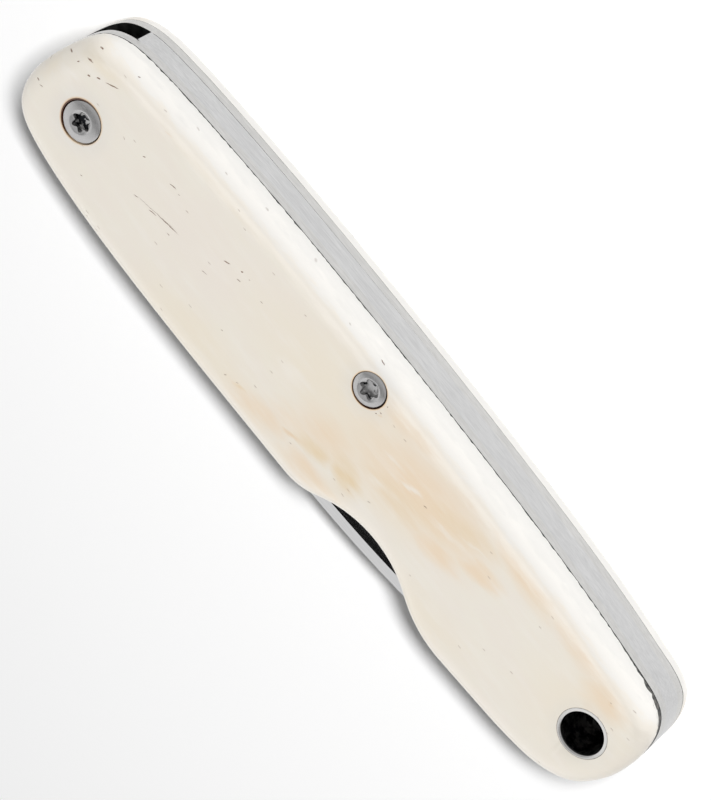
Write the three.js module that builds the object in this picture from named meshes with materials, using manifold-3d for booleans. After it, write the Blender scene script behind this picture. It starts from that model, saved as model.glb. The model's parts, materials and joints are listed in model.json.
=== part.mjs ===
// Folding pocket knife of the slip joint kind, closed, in millimetres.
// X runs along the handle from the pivot end to the butt, Y from the belly to the spine,
// and Z out of the front scale, so the knife lies on its rear scale.
// Every piece is drawn about the pivot's axis and the blade's middle plane.
// The finished knife is then moved so that the middle of its base is the origin.

import * as THREE from 'three';
import { mergeVertices } from 'three/addons/utils/BufferGeometryUtils.js';
import Module from 'manifold-3d';

const wasm = await Module();
wasm.setup();

// Handle outline
const handleLength = 100.0;
const pivotSetback = 8.2;
const spineRise = 11.95;
const bellyDrop = 10.1;

// Layers through the handle, and the hairline between two of them
const scaleThickness = 2.7;
const linerThickness = 1.2;
const springThickness = 2.8;
const layerGap = 0.02;

// Rounded outer edge of each bone scale
const edgeRoundWidth = 2.6;
const edgeRoundDepth = 2.0;
const edgeRoundSteps = 5;

// Thumb notch in the belly, which bares the blade's back
const notchSetback = 36.5;
const notchRadius = 13.3;
const notchDepth = 3.75;
const notchPivotFillet = 8.0;
const notchButtFillet = 15.0;

// Lanyard tube through the butt
const tubeSetback = 5.93;
const tubeRadius = 3.05;
const tubeBoreRadius = 2.65;
const tubeMouthChamfer = 0.15;
const tubeFit = 0.03;

// Pivot: barrel, washers and screws
const pivotBarrelRadius = 2.0;
const pivotRunningGap = 0.07;
const pivotHeadRadius = 2.5;
const recessFit = 0.16;
const washerRadius = 4.2;
const washerThickness = 0.22;

// Screw and barrel that clamp the backspring
const springScrewDistance = 42.8;
const springScrewHeight = 7.3;
const springBarrelRadius = 1.75;
const springHeadRadius = 2.11;

// What all screws and barrels share
const barrelFit = 0.05;
const screwShankRadius = 1.2;
const shankFit = 0.1;
const shankLength = 3.0;
const headHeight = 1.4;
const headDome = 0.42;
const frontHeadProud = 0.25;
const rearHeadSink = 0.05;
const lobeCount = 6;
const lobeOuterRadius = 1.24;
const lobeInnerRadius = 0.9;
const lobeDepth = 1.0;
const lobeMouthRadius = 1.34;
const lobeMouthDepth = 0.2;

// Tang: square cam with a flat for closed, half open and open
const tangFlat = 5.2;
const tangCornerRound = 2.0;
const tangSeatGap = 0.05;
const kickLength = 7.4;
const choilRadius = 0.9;

// Blade
const bladeThickness = 2.3;
const bladeSpineDrop = 11.5;
const shoulderSpineDrop = 10.2;
const edgeRise = 4.0;
const tipDrop = 7.6;
const backRunLength = 25.0;
const backCurve = 2.5;
const edgeCurve = 2.2;
const tipToTail = 2.0;
const backStrip = 1.35;
const plungeStart = 12.0;
const plungeLength = 3.5;
const edgeLand = 0.6;
const edgeLandHalf = 0.22;
const edgeHalf = 0.04;
const stripShareLimit = 0.25;
const landShareLimit = 0.17;
const hollowBias = 0.35;
const tipThicknessShare = 0.6;
const lastStationShare = 0.999;

// Backspring
const springReach = 2.6;
const stopGap = 0.1;
const springPadLength = 7.6;
const springArmDepth = 3.6;
const springBlockLead = 6.0;
const springBlockRise = 4.9;
const springTailWall = 2.3;
const reliefRamp = 4.0;

// Facets on round work
const roundSides = 32;
const smallSides = 24;
const samplesPerStation = 3;
const filletSamples = 5;
const hollowSamples = 12;
const bladeStations = 30;
const grindSteps = 4;
const tangBackSteps = 4;
const tangCurveSteps = 10;
const lobePoints = 48;
const domeSteps = 5;
const weldDistance = 1e-4;

// Places worked out from the sizes above
const buttEnd = handleLength - pivotSetback;
const tubeX = buttEnd - tubeSetback;
const tailX = tubeX - tubeRadius - springTailWall;
const tipX = tailX - tipToTail;
const notchX = buttEnd - notchSetback;
const linerInnerZ = springThickness / 2 + layerGap;
const linerOuterZ = linerInnerZ + linerThickness;
const scaleInnerZ = linerOuterZ + layerGap;
const scaleOuterZ = scaleInnerZ + scaleThickness;
const frontSeatZ = scaleOuterZ + frontHeadProud - headHeight;
const rearSeatZ = scaleOuterZ - rearHeadSink - headHeight;
const throughAll = 4 * scaleOuterZ;
const shoulderX = springReach + stopGap;

// Stations of the outline: inset from the nearer end, then drop below the spine or rise above the belly
const pivotEndSpine = [[22, 0.27], [11.2, 0.85], [6.7, 1.47], [4.5, 2.3], [2.95, 3.5], [1.95, 5.1],
  [1.3, 6.8], [0.75, 8.7], [0.3, 10.7]];
const buttSpine = [[0, 10.4], [0.3, 7.7], [1.05, 5.6], [2.3, 4.0], [4.2, 3.1], [7.8, 2.5], [17.8, 1.4],
  [35, 0.47]];
const buttBelly = [[17.8, 0.2], [11, 0.6], [6.7, 1.3], [3.9, 2.5], [2.1, 4.0], [1.0, 5.95], [0.2, 8.5]];
const pivotEndBelly = [[0, 8.6], [0.3, 6.4], [1.15, 4.6], [2.7, 3.3], [4.9, 2.45], [9.3, 1.55], [18.1, 0.65],
  [31.2, 0.15]];
const spineCrown = 39.2;

// Turns a closed geometry into a solid that can be joined and cut
function solidOf(geometry) {
  geometry.deleteAttribute('normal');
  geometry.deleteAttribute('uv');
  const welded = mergeVertices(geometry, weldDistance);
  return new wasm.Manifold(new wasm.Mesh({
    numProp: 3,
    vertProperties: welded.attributes.position.array,
    triVerts: Uint32Array.from(welded.index.array),
  }));
}

// Turns a solid back into a geometry
function geometryOf(solid) {
  const { vertProperties, triVerts } = solid.getMesh();
  const geometry = new THREE.BufferGeometry();
  geometry.setAttribute('position', new THREE.BufferAttribute(Float32Array.from(vertProperties), 3));
  geometry.setIndex(new THREE.BufferAttribute(Uint32Array.from(triVerts), 1));
  geometry.computeVertexNormals();
  return geometry;
}

// Prism of a flat outline between two heights
function prism(shape, lowZ, highZ) {
  const geometry = new THREE.ExtrudeGeometry(shape, { depth: highZ - lowZ, bevelEnabled: false });
  return solidOf(geometry.translate(0, 0, lowZ));
}

// Round bar about a line along Z
function bar(x, y, radius, lowZ, highZ, sides = roundSides) {
  const geometry = new THREE.CylinderGeometry(radius, radius, highZ - lowZ, sides);
  return solidOf(geometry.rotateX(Math.PI / 2).translate(x, y, (lowZ + highZ) / 2));
}

// Bar long enough to pass through the whole handle
function throughBar(x, y, radius) {
  return bar(x, y, radius, -throughAll / 2, throughAll / 2);
}

// Solid of revolution about Z from points of radius and height
function turned(points, sides) {
  const profile = points.map(([radius, height]) => new THREE.Vector2(radius, height));
  return new THREE.LatheGeometry(profile, sides).rotateX(Math.PI / 2);
}

// The same geometry on the other side of the middle plane, with its faces still pointing out
function mirrored(geometry) {
  const mirror = geometry.clone().scale(1, 1, -1);
  const order = mirror.index.array;
  for (let corner = 0; corner < order.length; corner += 3) {
    [order[corner], order[corner + 1]] = [order[corner + 1], order[corner]];
  }
  mirror.computeVertexNormals();
  return mirror;
}

// Smooth step from 0 to 1
function ease(value) {
  return THREE.MathUtils.smoothstep(value, 0, 1);
}

// Arcs of the thumb notch, from the belly on its pivot side to the belly on its butt side
function notchPoints() {
  const centreBelow = notchRadius - notchDepth;
  const blend = (fillet) => ({
    fillet,
    reach: Math.sqrt((notchRadius + fillet) ** 2 - (centreBelow + fillet) ** 2),
    tilt: Math.asin((centreBelow + fillet) / (notchRadius + fillet)),
  });
  const before = blend(notchPivotFillet);
  const after = blend(notchButtFillet);
  const arc = (x, y, radius, from, to, clockwise) =>
    new THREE.EllipseCurve(x, y, radius, radius, from, to, clockwise);
  const pivotSide = arc(notchX - before.reach, before.fillet - bellyDrop, before.fillet,
    -Math.PI / 2, -before.tilt, false);
  const hollow = arc(notchX, -bellyDrop - centreBelow, notchRadius,
    Math.PI - before.tilt, after.tilt, true);
  const buttSide = arc(notchX + after.reach, after.fillet - bellyDrop, after.fillet,
    after.tilt - Math.PI, -Math.PI / 2, false);
  return [
    ...pivotSide.getPoints(filletSamples),
    ...hollow.getPoints(hollowSamples).slice(1),
    ...buttSide.getPoints(filletSamples).slice(1),
  ];
}

// Edge of the handle, counter-clockwise, with the thumb notch
function handleShape() {
  const notch = notchPoints();
  const fromPivotEnd = (inset) => inset - pivotSetback;
  const fromButt = (inset) => buttEnd - inset;
  const stations = [
    notch[notch.length - 1],
    ...buttBelly.map(([inset, rise]) => new THREE.Vector2(fromButt(inset), rise - bellyDrop)),
    ...buttSpine.map(([inset, drop]) => new THREE.Vector2(fromButt(inset), spineRise - drop)),
    new THREE.Vector2(fromPivotEnd(spineCrown), spineRise),
    ...pivotEndSpine.map(([inset, drop]) => new THREE.Vector2(fromPivotEnd(inset), spineRise - drop)),
    ...pivotEndBelly.map(([inset, rise]) => new THREE.Vector2(fromPivotEnd(inset), rise - bellyDrop)),
    notch[0],
  ];
  const flat = stations.map((station) => new THREE.Vector3(station.x, station.y, 0));
  const edge = new THREE.CatmullRomCurve3(flat, false, 'centripetal');
  const round = edge.getPoints(samplesPerStation * (flat.length - 1));
  return new THREE.Shape([...round.slice(1), ...notch.slice(1)].map(({ x, y }) => new THREE.Vector2(x, y)));
}

const outline = handleShape();

// Holes that the pivot, the spring barrel and the lanyard tube pass through
function drilled(solid, pivotRadius, springRadius) {
  return solid
    .subtract(throughBar(0, 0, pivotRadius))
    .subtract(throughBar(springScrewDistance, springScrewHeight, springRadius))
    .subtract(throughBar(tubeX, 0, tubeRadius + tubeFit));
}

// Bone scale on the front side, flat inside and rounded along its outer edge
function scaleGeometry(seatZ) {
  const block = new THREE.ExtrudeGeometry(outline, {
    depth: scaleThickness - edgeRoundDepth,
    bevelThickness: edgeRoundDepth,
    bevelSize: edgeRoundWidth,
    bevelOffset: -edgeRoundWidth,
    bevelSegments: edgeRoundSteps,
  });
  const inside = new THREE.BoxGeometry(3 * handleLength, handleLength, throughAll)
    .translate(0, 0, scaleInnerZ - throughAll / 2);
  const shell = solidOf(block.translate(0, 0, scaleInnerZ)).subtract(solidOf(inside));
  const shankRadius = screwShankRadius + shankFit;
  return geometryOf(drilled(shell, shankRadius, shankRadius)
    .subtract(bar(0, 0, pivotHeadRadius + recessFit, seatZ, throughAll))
    .subtract(bar(springScrewDistance, springScrewHeight, springHeadRadius + recessFit, seatZ, throughAll)));
}

// Steel liner, a flat plate with the handle's outline
function linerGeometry() {
  const plate = prism(outline, -linerThickness / 2, linerThickness / 2);
  return geometryOf(drilled(plate, pivotBarrelRadius + barrelFit, springBarrelRadius + barrelFit));
}

// Everything of the handle's outline that the backspring leaves free
function bladeSlotShape() {
  const far = handleLength * 2;
  const padY = tangFlat + tangSeatGap;
  const armY = spineRise - springArmDepth;
  const padEnd = springPadLength - springReach;
  const blockX = springScrewDistance - springBlockLead;
  const slot = new THREE.Shape();
  slot.moveTo(-far, -far);
  slot.lineTo(tailX, -far);
  slot.lineTo(tailX, springBlockRise - reliefRamp / 2);
  slot.quadraticCurveTo(tailX, springBlockRise, tailX - reliefRamp / 2, springBlockRise);
  slot.lineTo(blockX, springBlockRise);
  slot.bezierCurveTo(blockX - reliefRamp / 2, springBlockRise, blockX - reliefRamp / 2, armY,
    blockX - reliefRamp, armY);
  slot.lineTo(padEnd + reliefRamp, armY);
  slot.bezierCurveTo(padEnd + reliefRamp / 2, armY, padEnd + reliefRamp / 2, padY, padEnd, padY);
  slot.lineTo(-springReach, padY);
  slot.lineTo(-springReach, far);
  slot.lineTo(-far, far);
  slot.closePath();
  return slot;
}

// Backspring: tail round the lanyard tube, block on the screw, free arm and the pad that presses on the tang
function backspringGeometry() {
  const blank = prism(outline, -springThickness / 2, springThickness / 2);
  return geometryOf(blank
    .subtract(prism(bladeSlotShape(), -springThickness, springThickness))
    .subtract(throughBar(springScrewDistance, springScrewHeight, springBarrelRadius + barrelFit))
    .subtract(throughBar(tubeX, 0, tubeRadius + tubeFit)));
}

// Share of the way from a start to the blade's point, nought before the start
function towardTip(x, start) {
  return Math.max(0, (x - start) / (tipX - start));
}

// Height of the blade's back at a distance from the pivot, with the blade closed
function backY(x) {
  const depth = (bladeSpineDrop - shoulderSpineDrop) * ease((x - shoulderX) / backRunLength);
  const share = towardTip(x, handleLength / 2 - pivotSetback);
  return -shoulderSpineDrop - depth + (bladeSpineDrop - tipDrop) * share ** backCurve;
}

// Height of the cutting edge at a distance from the pivot, with the blade closed
function edgeY(x) {
  return edgeRise - (edgeRise + tipDrop) * towardTip(x, handleLength / 2) ** edgeCurve;
}

// Ring of points round the blade at one distance, from the back down the front to the edge and up the rear
function bladeSection(x) {
  const top = backY(x);
  const height = edgeY(x) - top;
  const grind = ease((x - plungeStart) / plungeLength);
  const half = (bladeThickness / 2) * (1 - (1 - tipThicknessShare) * towardTip(x, handleLength / 2) ** 2);
  const strip = Math.min(backStrip, height * stripShareLimit);
  const land = Math.min(edgeLand, height * landShareLimit);
  const ground = (share) => {
    const hollow = (1 + hollowBias) * share - hollowBias * share ** 2;
    return THREE.MathUtils.lerp(half, THREE.MathUtils.lerp(half, edgeLandHalf, hollow), grind);
  };
  const front = [[top, half], [top + strip, half]];
  for (let step = 1; step <= grindSteps; step += 1) {
    const share = step / grindSteps;
    front.push([top + strip + (height - strip - land) * share, ground(share)]);
  }
  front.push([top + height, THREE.MathUtils.lerp(half, edgeHalf, grind)]);
  const rear = front.map(([y, z]) => [y, -z]).reverse();
  return [...front, ...rear].map(([y, z]) => new THREE.Vector3(x, y, z));
}

// Closed skin through rings of points, with a flat end at the first and the last ring
function loft(rings) {
  const count = rings[0].length;
  const positions = rings.flat().flatMap(({ x, y, z }) => [x, y, z]);
  const faces = [];
  for (let ring = 0; ring + 1 < rings.length; ring += 1) {
    for (let side = 0; side < count; side += 1) {
      const here = ring * count + side;
      const next = ring * count + ((side + 1) % count);
      faces.push(here, next + count, next, here, here + count, next + count);
    }
  }
  const last = (rings.length - 1) * count;
  for (let side = 0; side + 1 < count / 2; side += 1) {
    const across = count - 1 - side;
    faces.push(side, side + 1, across, side + 1, across - 1, across);
    faces.push(last + side, last + across, last + side + 1);
    faces.push(last + side + 1, last + across, last + across - 1);
  }
  const geometry = new THREE.BufferGeometry();
  geometry.setAttribute('position', new THREE.BufferAttribute(new Float32Array(positions), 3));
  geometry.setIndex(faces);
  return geometry;
}

// Tang and ricasso in outline, with the flats that the spring rests on
function tangShape() {
  const flat = tangFlat;
  const inner = flat - tangCornerRound;
  const choilX = kickLength + choilRadius;
  const tang = new THREE.Shape();
  tang.moveTo(shoulderX, backY(shoulderX));
  for (let step = 1; step <= tangBackSteps; step += 1) {
    const x = THREE.MathUtils.lerp(shoulderX, plungeStart, step / tangBackSteps);
    tang.lineTo(x, backY(x));
  }
  tang.lineTo(plungeStart, edgeRise);
  tang.lineTo(choilX + choilRadius, edgeRise);
  tang.absarc(choilX, edgeRise, choilRadius, 0, Math.PI, true);
  tang.lineTo(kickLength, flat - choilRadius / 2);
  tang.lineTo(kickLength - choilRadius / 2, flat);
  tang.lineTo(-inner, flat);
  tang.absarc(-inner, inner, tangCornerRound, Math.PI / 2, Math.PI, false);
  tang.absarc(-inner, -inner, tangCornerRound, Math.PI, 1.5 * Math.PI, false);
  tang.lineTo(shoulderX, -flat);
  tang.closePath();
  return tang;
}

// Blade: ground and tapered from the plunge to the point, joined to its tang
function bladeGeometry() {
  const rings = [];
  const groundLength = tipX - plungeStart;
  for (let station = 0; station <= bladeStations; station += 1) {
    const share = Math.sin((station / bladeStations) * (Math.PI / 2));
    rings.push(bladeSection(plungeStart + groundLength * Math.min(share, lastStationShare)));
  }
  const tang = new THREE.ExtrudeGeometry(tangShape(), {
    depth: bladeThickness,
    bevelEnabled: false,
    curveSegments: tangCurveSteps,
  });
  return geometryOf(solidOf(tang.translate(0, 0, -bladeThickness / 2))
    .add(solidOf(loft(rings)))
    .subtract(throughBar(0, 0, pivotBarrelRadius + pivotRunningGap)));
}

// Bronze washer between the tang and a liner
function washerGeometry() {
  const inner = pivotBarrelRadius + pivotRunningGap;
  const half = washerThickness / 2;
  return turned([[inner, -half], [washerRadius, -half], [washerRadius, half], [inner, half], [inner, -half]],
    roundSides);
}

// Barrel between the two scales, bored for a screw from each side
function barrelGeometry(radius) {
  const bore = screwShankRadius + shankFit;
  return turned([[bore, -linerOuterZ], [radius, -linerOuterZ], [radius, linerOuterZ], [bore, linerOuterZ],
    [bore, -linerOuterZ]], roundSides);
}

// Six-lobe driver recess in outline
function lobeShape() {
  const mean = (lobeOuterRadius + lobeInnerRadius) / 2;
  const swing = (lobeOuterRadius - lobeInnerRadius) / 2;
  const points = [];
  for (let step = 0; step < lobePoints; step += 1) {
    const angle = (step / lobePoints) * 2 * Math.PI;
    const radius = mean + swing * Math.cos(lobeCount * angle);
    points.push(new THREE.Vector2(radius * Math.cos(angle), radius * Math.sin(angle)));
  }
  return new THREE.Shape(points);
}

// Domed screw with its head's seat at height zero and its shank pointing down
function screwGeometry(headRadius) {
  const rim = headHeight - headDome;
  const profile = [[0, -shankLength], [screwShankRadius, -shankLength], [screwShankRadius, 0],
    [headRadius, 0]];
  for (let step = 0; step < domeSteps; step += 1) {
    const angle = (step / domeSteps) * (Math.PI / 2);
    profile.push([headRadius * Math.cos(angle), rim + headDome * Math.sin(angle)]);
  }
  profile.push([0, headHeight]);
  const mouth = new THREE.CylinderGeometry(lobeMouthRadius, lobeInnerRadius, lobeMouthDepth, smallSides)
    .rotateX(Math.PI / 2)
    .translate(0, 0, headHeight - lobeMouthDepth / 2);
  return geometryOf(solidOf(turned(profile, smallSides))
    .subtract(prism(lobeShape(), headHeight - lobeDepth, 2 * headHeight))
    .subtract(solidOf(mouth)));
}

// Lanyard tube, flush with both scales, with a small chamfer at each mouth
function tubeGeometry() {
  const mouth = tubeBoreRadius + tubeMouthChamfer;
  const chamferZ = scaleOuterZ - tubeMouthChamfer;
  return turned([[tubeBoreRadius, -chamferZ], [mouth, -scaleOuterZ], [tubeRadius, -scaleOuterZ],
    [tubeRadius, scaleOuterZ], [mouth, scaleOuterZ], [tubeBoreRadius, chamferZ],
    [tubeBoreRadius, -chamferZ]], roundSides);
}

// Materials
function boneMaterial() {
  return new THREE.MeshStandardMaterial({ color: 0xf3e9d8, roughness: 0.28, metalness: 0 });
}

function linerMaterial() {
  return new THREE.MeshStandardMaterial({ color: 0xb9b6b1, roughness: 0.38, metalness: 1 });
}

function springMaterial() {
  return new THREE.MeshStandardMaterial({ color: 0xb4b5b7, roughness: 0.34, metalness: 1 });
}

function bladeMaterial() {
  return new THREE.MeshStandardMaterial({ color: 0xc9cacc, roughness: 0.2, metalness: 1 });
}

function screwMaterial() {
  return new THREE.MeshStandardMaterial({ color: 0xa9a9aa, roughness: 0.42, metalness: 1 });
}

function tubeMaterial() {
  return new THREE.MeshStandardMaterial({ color: 0xc4c2be, roughness: 0.25, metalness: 1 });
}

function bronzeMaterial() {
  return new THREE.MeshStandardMaterial({ color: 0xa9743c, roughness: 0.35, metalness: 1 });
}

// A named piece at a place, turned over where it is the rear one of a pair
function piece(name, geometry, material, place, turnedOver = false) {
  const mesh = new THREE.Mesh(geometry, material);
  mesh.name = name;
  mesh.position.set(...place);
  mesh.rotation.x = turnedOver ? Math.PI : 0;
  return mesh;
}

// Two screws that meet in one barrel
function screwPair(label, headRadius, x, y) {
  const front = [x, y, frontSeatZ + layerGap];
  const rear = [x, y, -rearSeatZ - layerGap];
  const pair = new THREE.Group();
  pair.add(
    piece(`front_${label}_screw`, screwGeometry(headRadius), screwMaterial(), front),
    piece(`rear_${label}_screw`, screwGeometry(headRadius), screwMaterial(), rear, true),
  );
  return pair;
}

// Scales, liners, backspring and what holds them together
function handleGroup() {
  const linerMiddleZ = (linerInnerZ + linerOuterZ) / 2;
  const washerZ = linerInnerZ - layerGap - washerThickness / 2;
  const handle = new THREE.Group();
  handle.add(
    piece('front_scale', scaleGeometry(frontSeatZ), boneMaterial(), [0, 0, 0]),
    piece('rear_scale', mirrored(scaleGeometry(rearSeatZ)), boneMaterial(), [0, 0, 0]),
    piece('front_liner', linerGeometry(), linerMaterial(), [0, 0, linerMiddleZ]),
    piece('rear_liner', linerGeometry(), linerMaterial(), [0, 0, -linerMiddleZ]),
    piece('backspring', backspringGeometry(), springMaterial(), [0, 0, 0]),
    piece('front_washer', washerGeometry(), bronzeMaterial(), [0, 0, washerZ]),
    piece('rear_washer', washerGeometry(), bronzeMaterial(), [0, 0, -washerZ]),
    piece('pivot_barrel', barrelGeometry(pivotBarrelRadius), screwMaterial(), [0, 0, 0]),
    piece('spring_barrel', barrelGeometry(springBarrelRadius), screwMaterial(),
      [springScrewDistance, springScrewHeight, 0]),
    piece('lanyard_tube', tubeGeometry(), tubeMaterial(), [tubeX, 0, 0]),
    screwPair('pivot', pivotHeadRadius, 0, 0),
    screwPair('spring', springHeadRadius, springScrewDistance, springScrewHeight),
  );
  return handle;
}

const knife = new THREE.Group();
knife.add(handleGroup(), piece('blade', bladeGeometry(), bladeMaterial(), [0, 0, 0]));

// The middle of the knife's base becomes the origin
const reach = new THREE.Box3().setFromObject(knife);
const middle = reach.getCenter(new THREE.Vector3());
knife.position.set(-middle.x, -middle.y, -reach.min.z);

export default knife;
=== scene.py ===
"""Folding pocket knife with bone scales, closed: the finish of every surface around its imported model.

Named lengths are millimetres, as on a maker's drawing, and MM turns them into metres.
Pieces are drawn about the pivot's axis and the blade's middle plane, and row_point puts them in place.
"""

import json
import math

import bmesh
import bpy
import numpy as np
from mathutils import Matrix, Vector, noise


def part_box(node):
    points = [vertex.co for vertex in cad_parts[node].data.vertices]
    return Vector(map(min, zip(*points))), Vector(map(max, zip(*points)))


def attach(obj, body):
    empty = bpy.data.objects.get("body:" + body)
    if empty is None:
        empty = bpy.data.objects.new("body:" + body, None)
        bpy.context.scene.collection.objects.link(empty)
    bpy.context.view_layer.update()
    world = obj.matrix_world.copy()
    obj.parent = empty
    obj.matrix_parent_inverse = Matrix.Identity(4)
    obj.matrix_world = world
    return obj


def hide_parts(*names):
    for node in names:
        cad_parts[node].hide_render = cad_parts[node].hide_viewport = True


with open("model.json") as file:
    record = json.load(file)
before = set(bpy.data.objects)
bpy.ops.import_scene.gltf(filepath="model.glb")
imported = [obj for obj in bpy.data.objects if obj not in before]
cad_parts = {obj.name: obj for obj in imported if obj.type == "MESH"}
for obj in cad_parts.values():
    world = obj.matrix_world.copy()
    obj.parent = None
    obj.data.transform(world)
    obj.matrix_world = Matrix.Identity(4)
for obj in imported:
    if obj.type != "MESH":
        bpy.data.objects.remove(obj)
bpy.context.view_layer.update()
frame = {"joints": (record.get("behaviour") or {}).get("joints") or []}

MM = 0.001
PIVOT = Vector(frame["joints"][0]["pos_m"])


def node_span(node):
    """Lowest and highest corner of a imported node, in millimetres from the pivot."""
    low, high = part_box(node)
    return (low - PIVOT) / MM, (high - PIVOT) / MM


def row_point(x, y, z):
    """A point drawn in millimetres from the pivot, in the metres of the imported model."""
    return PIVOT + Vector((x, y, z)) * MM


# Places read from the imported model
scale_low, scale_high = node_span("front_scale")
liner_low, liner_high = node_span("front_liner")
spring_low = node_span("backspring")[0]
blade_high = node_span("blade")[1]
tube_low, tube_high = node_span("lanyard_tube")
pivot_barrel_low, pivot_barrel_high = node_span("pivot_barrel")
spring_barrel_low, spring_barrel_high = node_span("spring_barrel")
washer_low, washer_high = node_span("front_washer")
pivot_screw_high = node_span("front_pivot_screw")[1]
spring_screw_high = node_span("front_spring_screw")[1]

PIVOT_END = scale_low.x
BUTT_END = scale_high.x
SPINE = scale_high.y
BELLY = scale_low.y
TUBE_X = (tube_low.x + tube_high.x) / 2
SCREW_X = (spring_barrel_low.x + spring_barrel_high.x) / 2
SCREW_Y = (spring_barrel_low.y + spring_barrel_high.y) / 2

# The camera that sees the knife as the photograph does
CAMERA_PLACE = (0.023564, 0.260645, 0.338187)
CAMERA_RIGHT = (0.63299, 0.58812, -0.50342)
CAMERA_UP = (-0.77223, 0.52555, -0.35702)
CAMERA_BACK = (0.0546, 0.61474, 0.78684)
CAMERA_LENS = 173.88
CAMERA_FILM = 36.0
CAMERA_NEAR = 0.01
CAMERA_FAR = 20.0


def photographers_camera():
    """The camera at the photograph's angle and distance."""
    lens = bpy.data.cameras.new("photographers_camera")
    lens.lens = CAMERA_LENS
    lens.sensor_width = CAMERA_FILM
    lens.clip_start = CAMERA_NEAR
    lens.clip_end = CAMERA_FAR
    camera = bpy.data.objects.new("photographers_camera", lens)
    axes = Matrix((CAMERA_RIGHT, CAMERA_UP, CAMERA_BACK)).transposed().to_4x4()
    camera.matrix_world = Matrix.Translation(CAMERA_PLACE) @ axes
    bpy.context.scene.collection.objects.link(camera)
    bpy.context.scene.camera = camera


photographers_camera()

# Edge of the handle: stations by their inset from the nearer end, then by their drop below the spine or
# their rise above the belly
PIVOT_END_SPINE = ((22, 0.27), (11.2, 0.85), (6.7, 1.47), (4.5, 2.3), (2.95, 3.5), (1.95, 5.1), (1.3, 6.8),
                   (0.75, 8.7), (0.3, 10.7))
BUTT_SPINE = ((0, 10.4), (0.3, 7.7), (1.05, 5.6), (2.3, 4.0), (4.2, 3.1), (7.8, 2.5), (17.8, 1.4),
              (35, 0.47))
BUTT_BELLY = ((17.8, 0.2), (11, 0.6), (6.7, 1.3), (3.9, 2.5), (2.1, 4.0), (1.0, 5.95), (0.2, 8.5))
PIVOT_END_BELLY = ((0, 8.6), (0.3, 6.4), (1.15, 4.6), (2.7, 3.3), (4.9, 2.45), (9.3, 1.55), (18.1, 0.65),
                   (31.2, 0.15))
SPINE_CROWN = 39.2
NOTCH_SETBACK = 36.5
NOTCH_RADIUS = 13.3
NOTCH_DEPTH = 3.75
NOTCH_PIVOT_FILLET = 8.0
NOTCH_BUTT_FILLET = 15.0
EDGE_SPACING = 0.36
CURVE_STEPS = 12


def curve_through(stations, steps=CURVE_STEPS):
    """Centripetal curve through stations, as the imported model's edge is drawn."""
    stations = np.array(stations, float)
    padded = np.vstack((2 * stations[0] - stations[1], stations, 2 * stations[-1] - stations[-2]))
    share = np.linspace(0, 1, steps, endpoint=False)[:, None]
    points = []
    for before, start, end, after in zip(padded, padded[1:], padded[2:], padded[3:]):
        gaps = [math.sqrt(math.dist(a, b)) for a, b in ((before, start), (start, end), (end, after))]
        leave = (start - before) / gaps[0] - (end - before) / (gaps[0] + gaps[1]) + (end - start) / gaps[1]
        arrive = (end - start) / gaps[1] - (after - start) / (gaps[1] + gaps[2]) + (after - end) / gaps[2]
        leave, arrive = leave * gaps[1], arrive * gaps[1]
        points.append(start + leave * share
                      + (3 * (end - start) - 2 * leave - arrive) * share ** 2
                      + (2 * (start - end) + leave + arrive) * share ** 3)
    return np.vstack((*points, stations[-1]))


def arc(centre, radius, start, end, steps=CURVE_STEPS):
    """Points of an arc between two angles."""
    angle = np.linspace(start, end, steps + 1)
    return np.column_stack((centre[0] + radius * np.cos(angle), centre[1] + radius * np.sin(angle)))


def notch_arcs():
    """Thumb notch: a hollow with a fillet on each side of it."""
    middle = BUTT_END - NOTCH_SETBACK
    below = NOTCH_RADIUS - NOTCH_DEPTH
    arcs = {}
    for side, fillet in (("pivot", NOTCH_PIVOT_FILLET), ("butt", NOTCH_BUTT_FILLET)):
        reach = math.sqrt((NOTCH_RADIUS + fillet) ** 2 - (below + fillet) ** 2)
        arcs[side] = fillet, reach, math.asin((below + fillet) / (NOTCH_RADIUS + fillet))
    fillet, reach, tilt = arcs["pivot"]
    first = arc((middle - reach, fillet + BELLY), fillet, -math.pi / 2, -tilt)
    hollow_start = math.pi - tilt
    fillet, reach, tilt = arcs["butt"]
    hollow = arc((middle, BELLY - below), NOTCH_RADIUS, hollow_start, tilt)
    last = arc((middle + reach, fillet + BELLY), fillet, tilt - math.pi, -math.pi / 2)
    return np.vstack((first, hollow[1:], last[1:]))


def evenly(points, spacing):
    """The same open line with points at an even spacing."""
    lengths = np.concatenate(([0], np.cumsum(np.linalg.norm(np.diff(points, axis=0), axis=1))))
    places = np.linspace(0, lengths[-1], max(2, round(lengths[-1] / spacing)) + 1)
    return np.column_stack([np.interp(places, lengths, points[:, axis]) for axis in range(2)])


def handle_edge():
    """Closed edge of the handle, counter-clockwise from the notch's butt side."""
    notch = notch_arcs()
    stations = [
        notch[-1],
        *((BUTT_END - inset, BELLY + rise) for inset, rise in BUTT_BELLY),
        *((BUTT_END - inset, SPINE - drop) for inset, drop in BUTT_SPINE),
        (PIVOT_END + SPINE_CROWN, SPINE),
        *((PIVOT_END + inset, SPINE - drop) for inset, drop in PIVOT_END_SPINE),
        *((PIVOT_END + inset, BELLY + rise) for inset, rise in PIVOT_END_BELLY),
        notch[0],
    ]
    edge = evenly(np.vstack((curve_through(stations), notch[1:])), EDGE_SPACING)[:-1]
    return edge.clip((PIVOT_END, BELLY), (BUTT_END, SPINE))


HANDLE_EDGE = handle_edge()


def outward(edge):
    """Unit normals that point out of a closed counter-clockwise edge."""
    along = np.roll(edge, -1, axis=0) - np.roll(edge, 1, axis=0)
    along /= np.linalg.norm(along, axis=1)[:, None]
    return np.column_stack((along[:, 1], -along[:, 0]))


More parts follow.
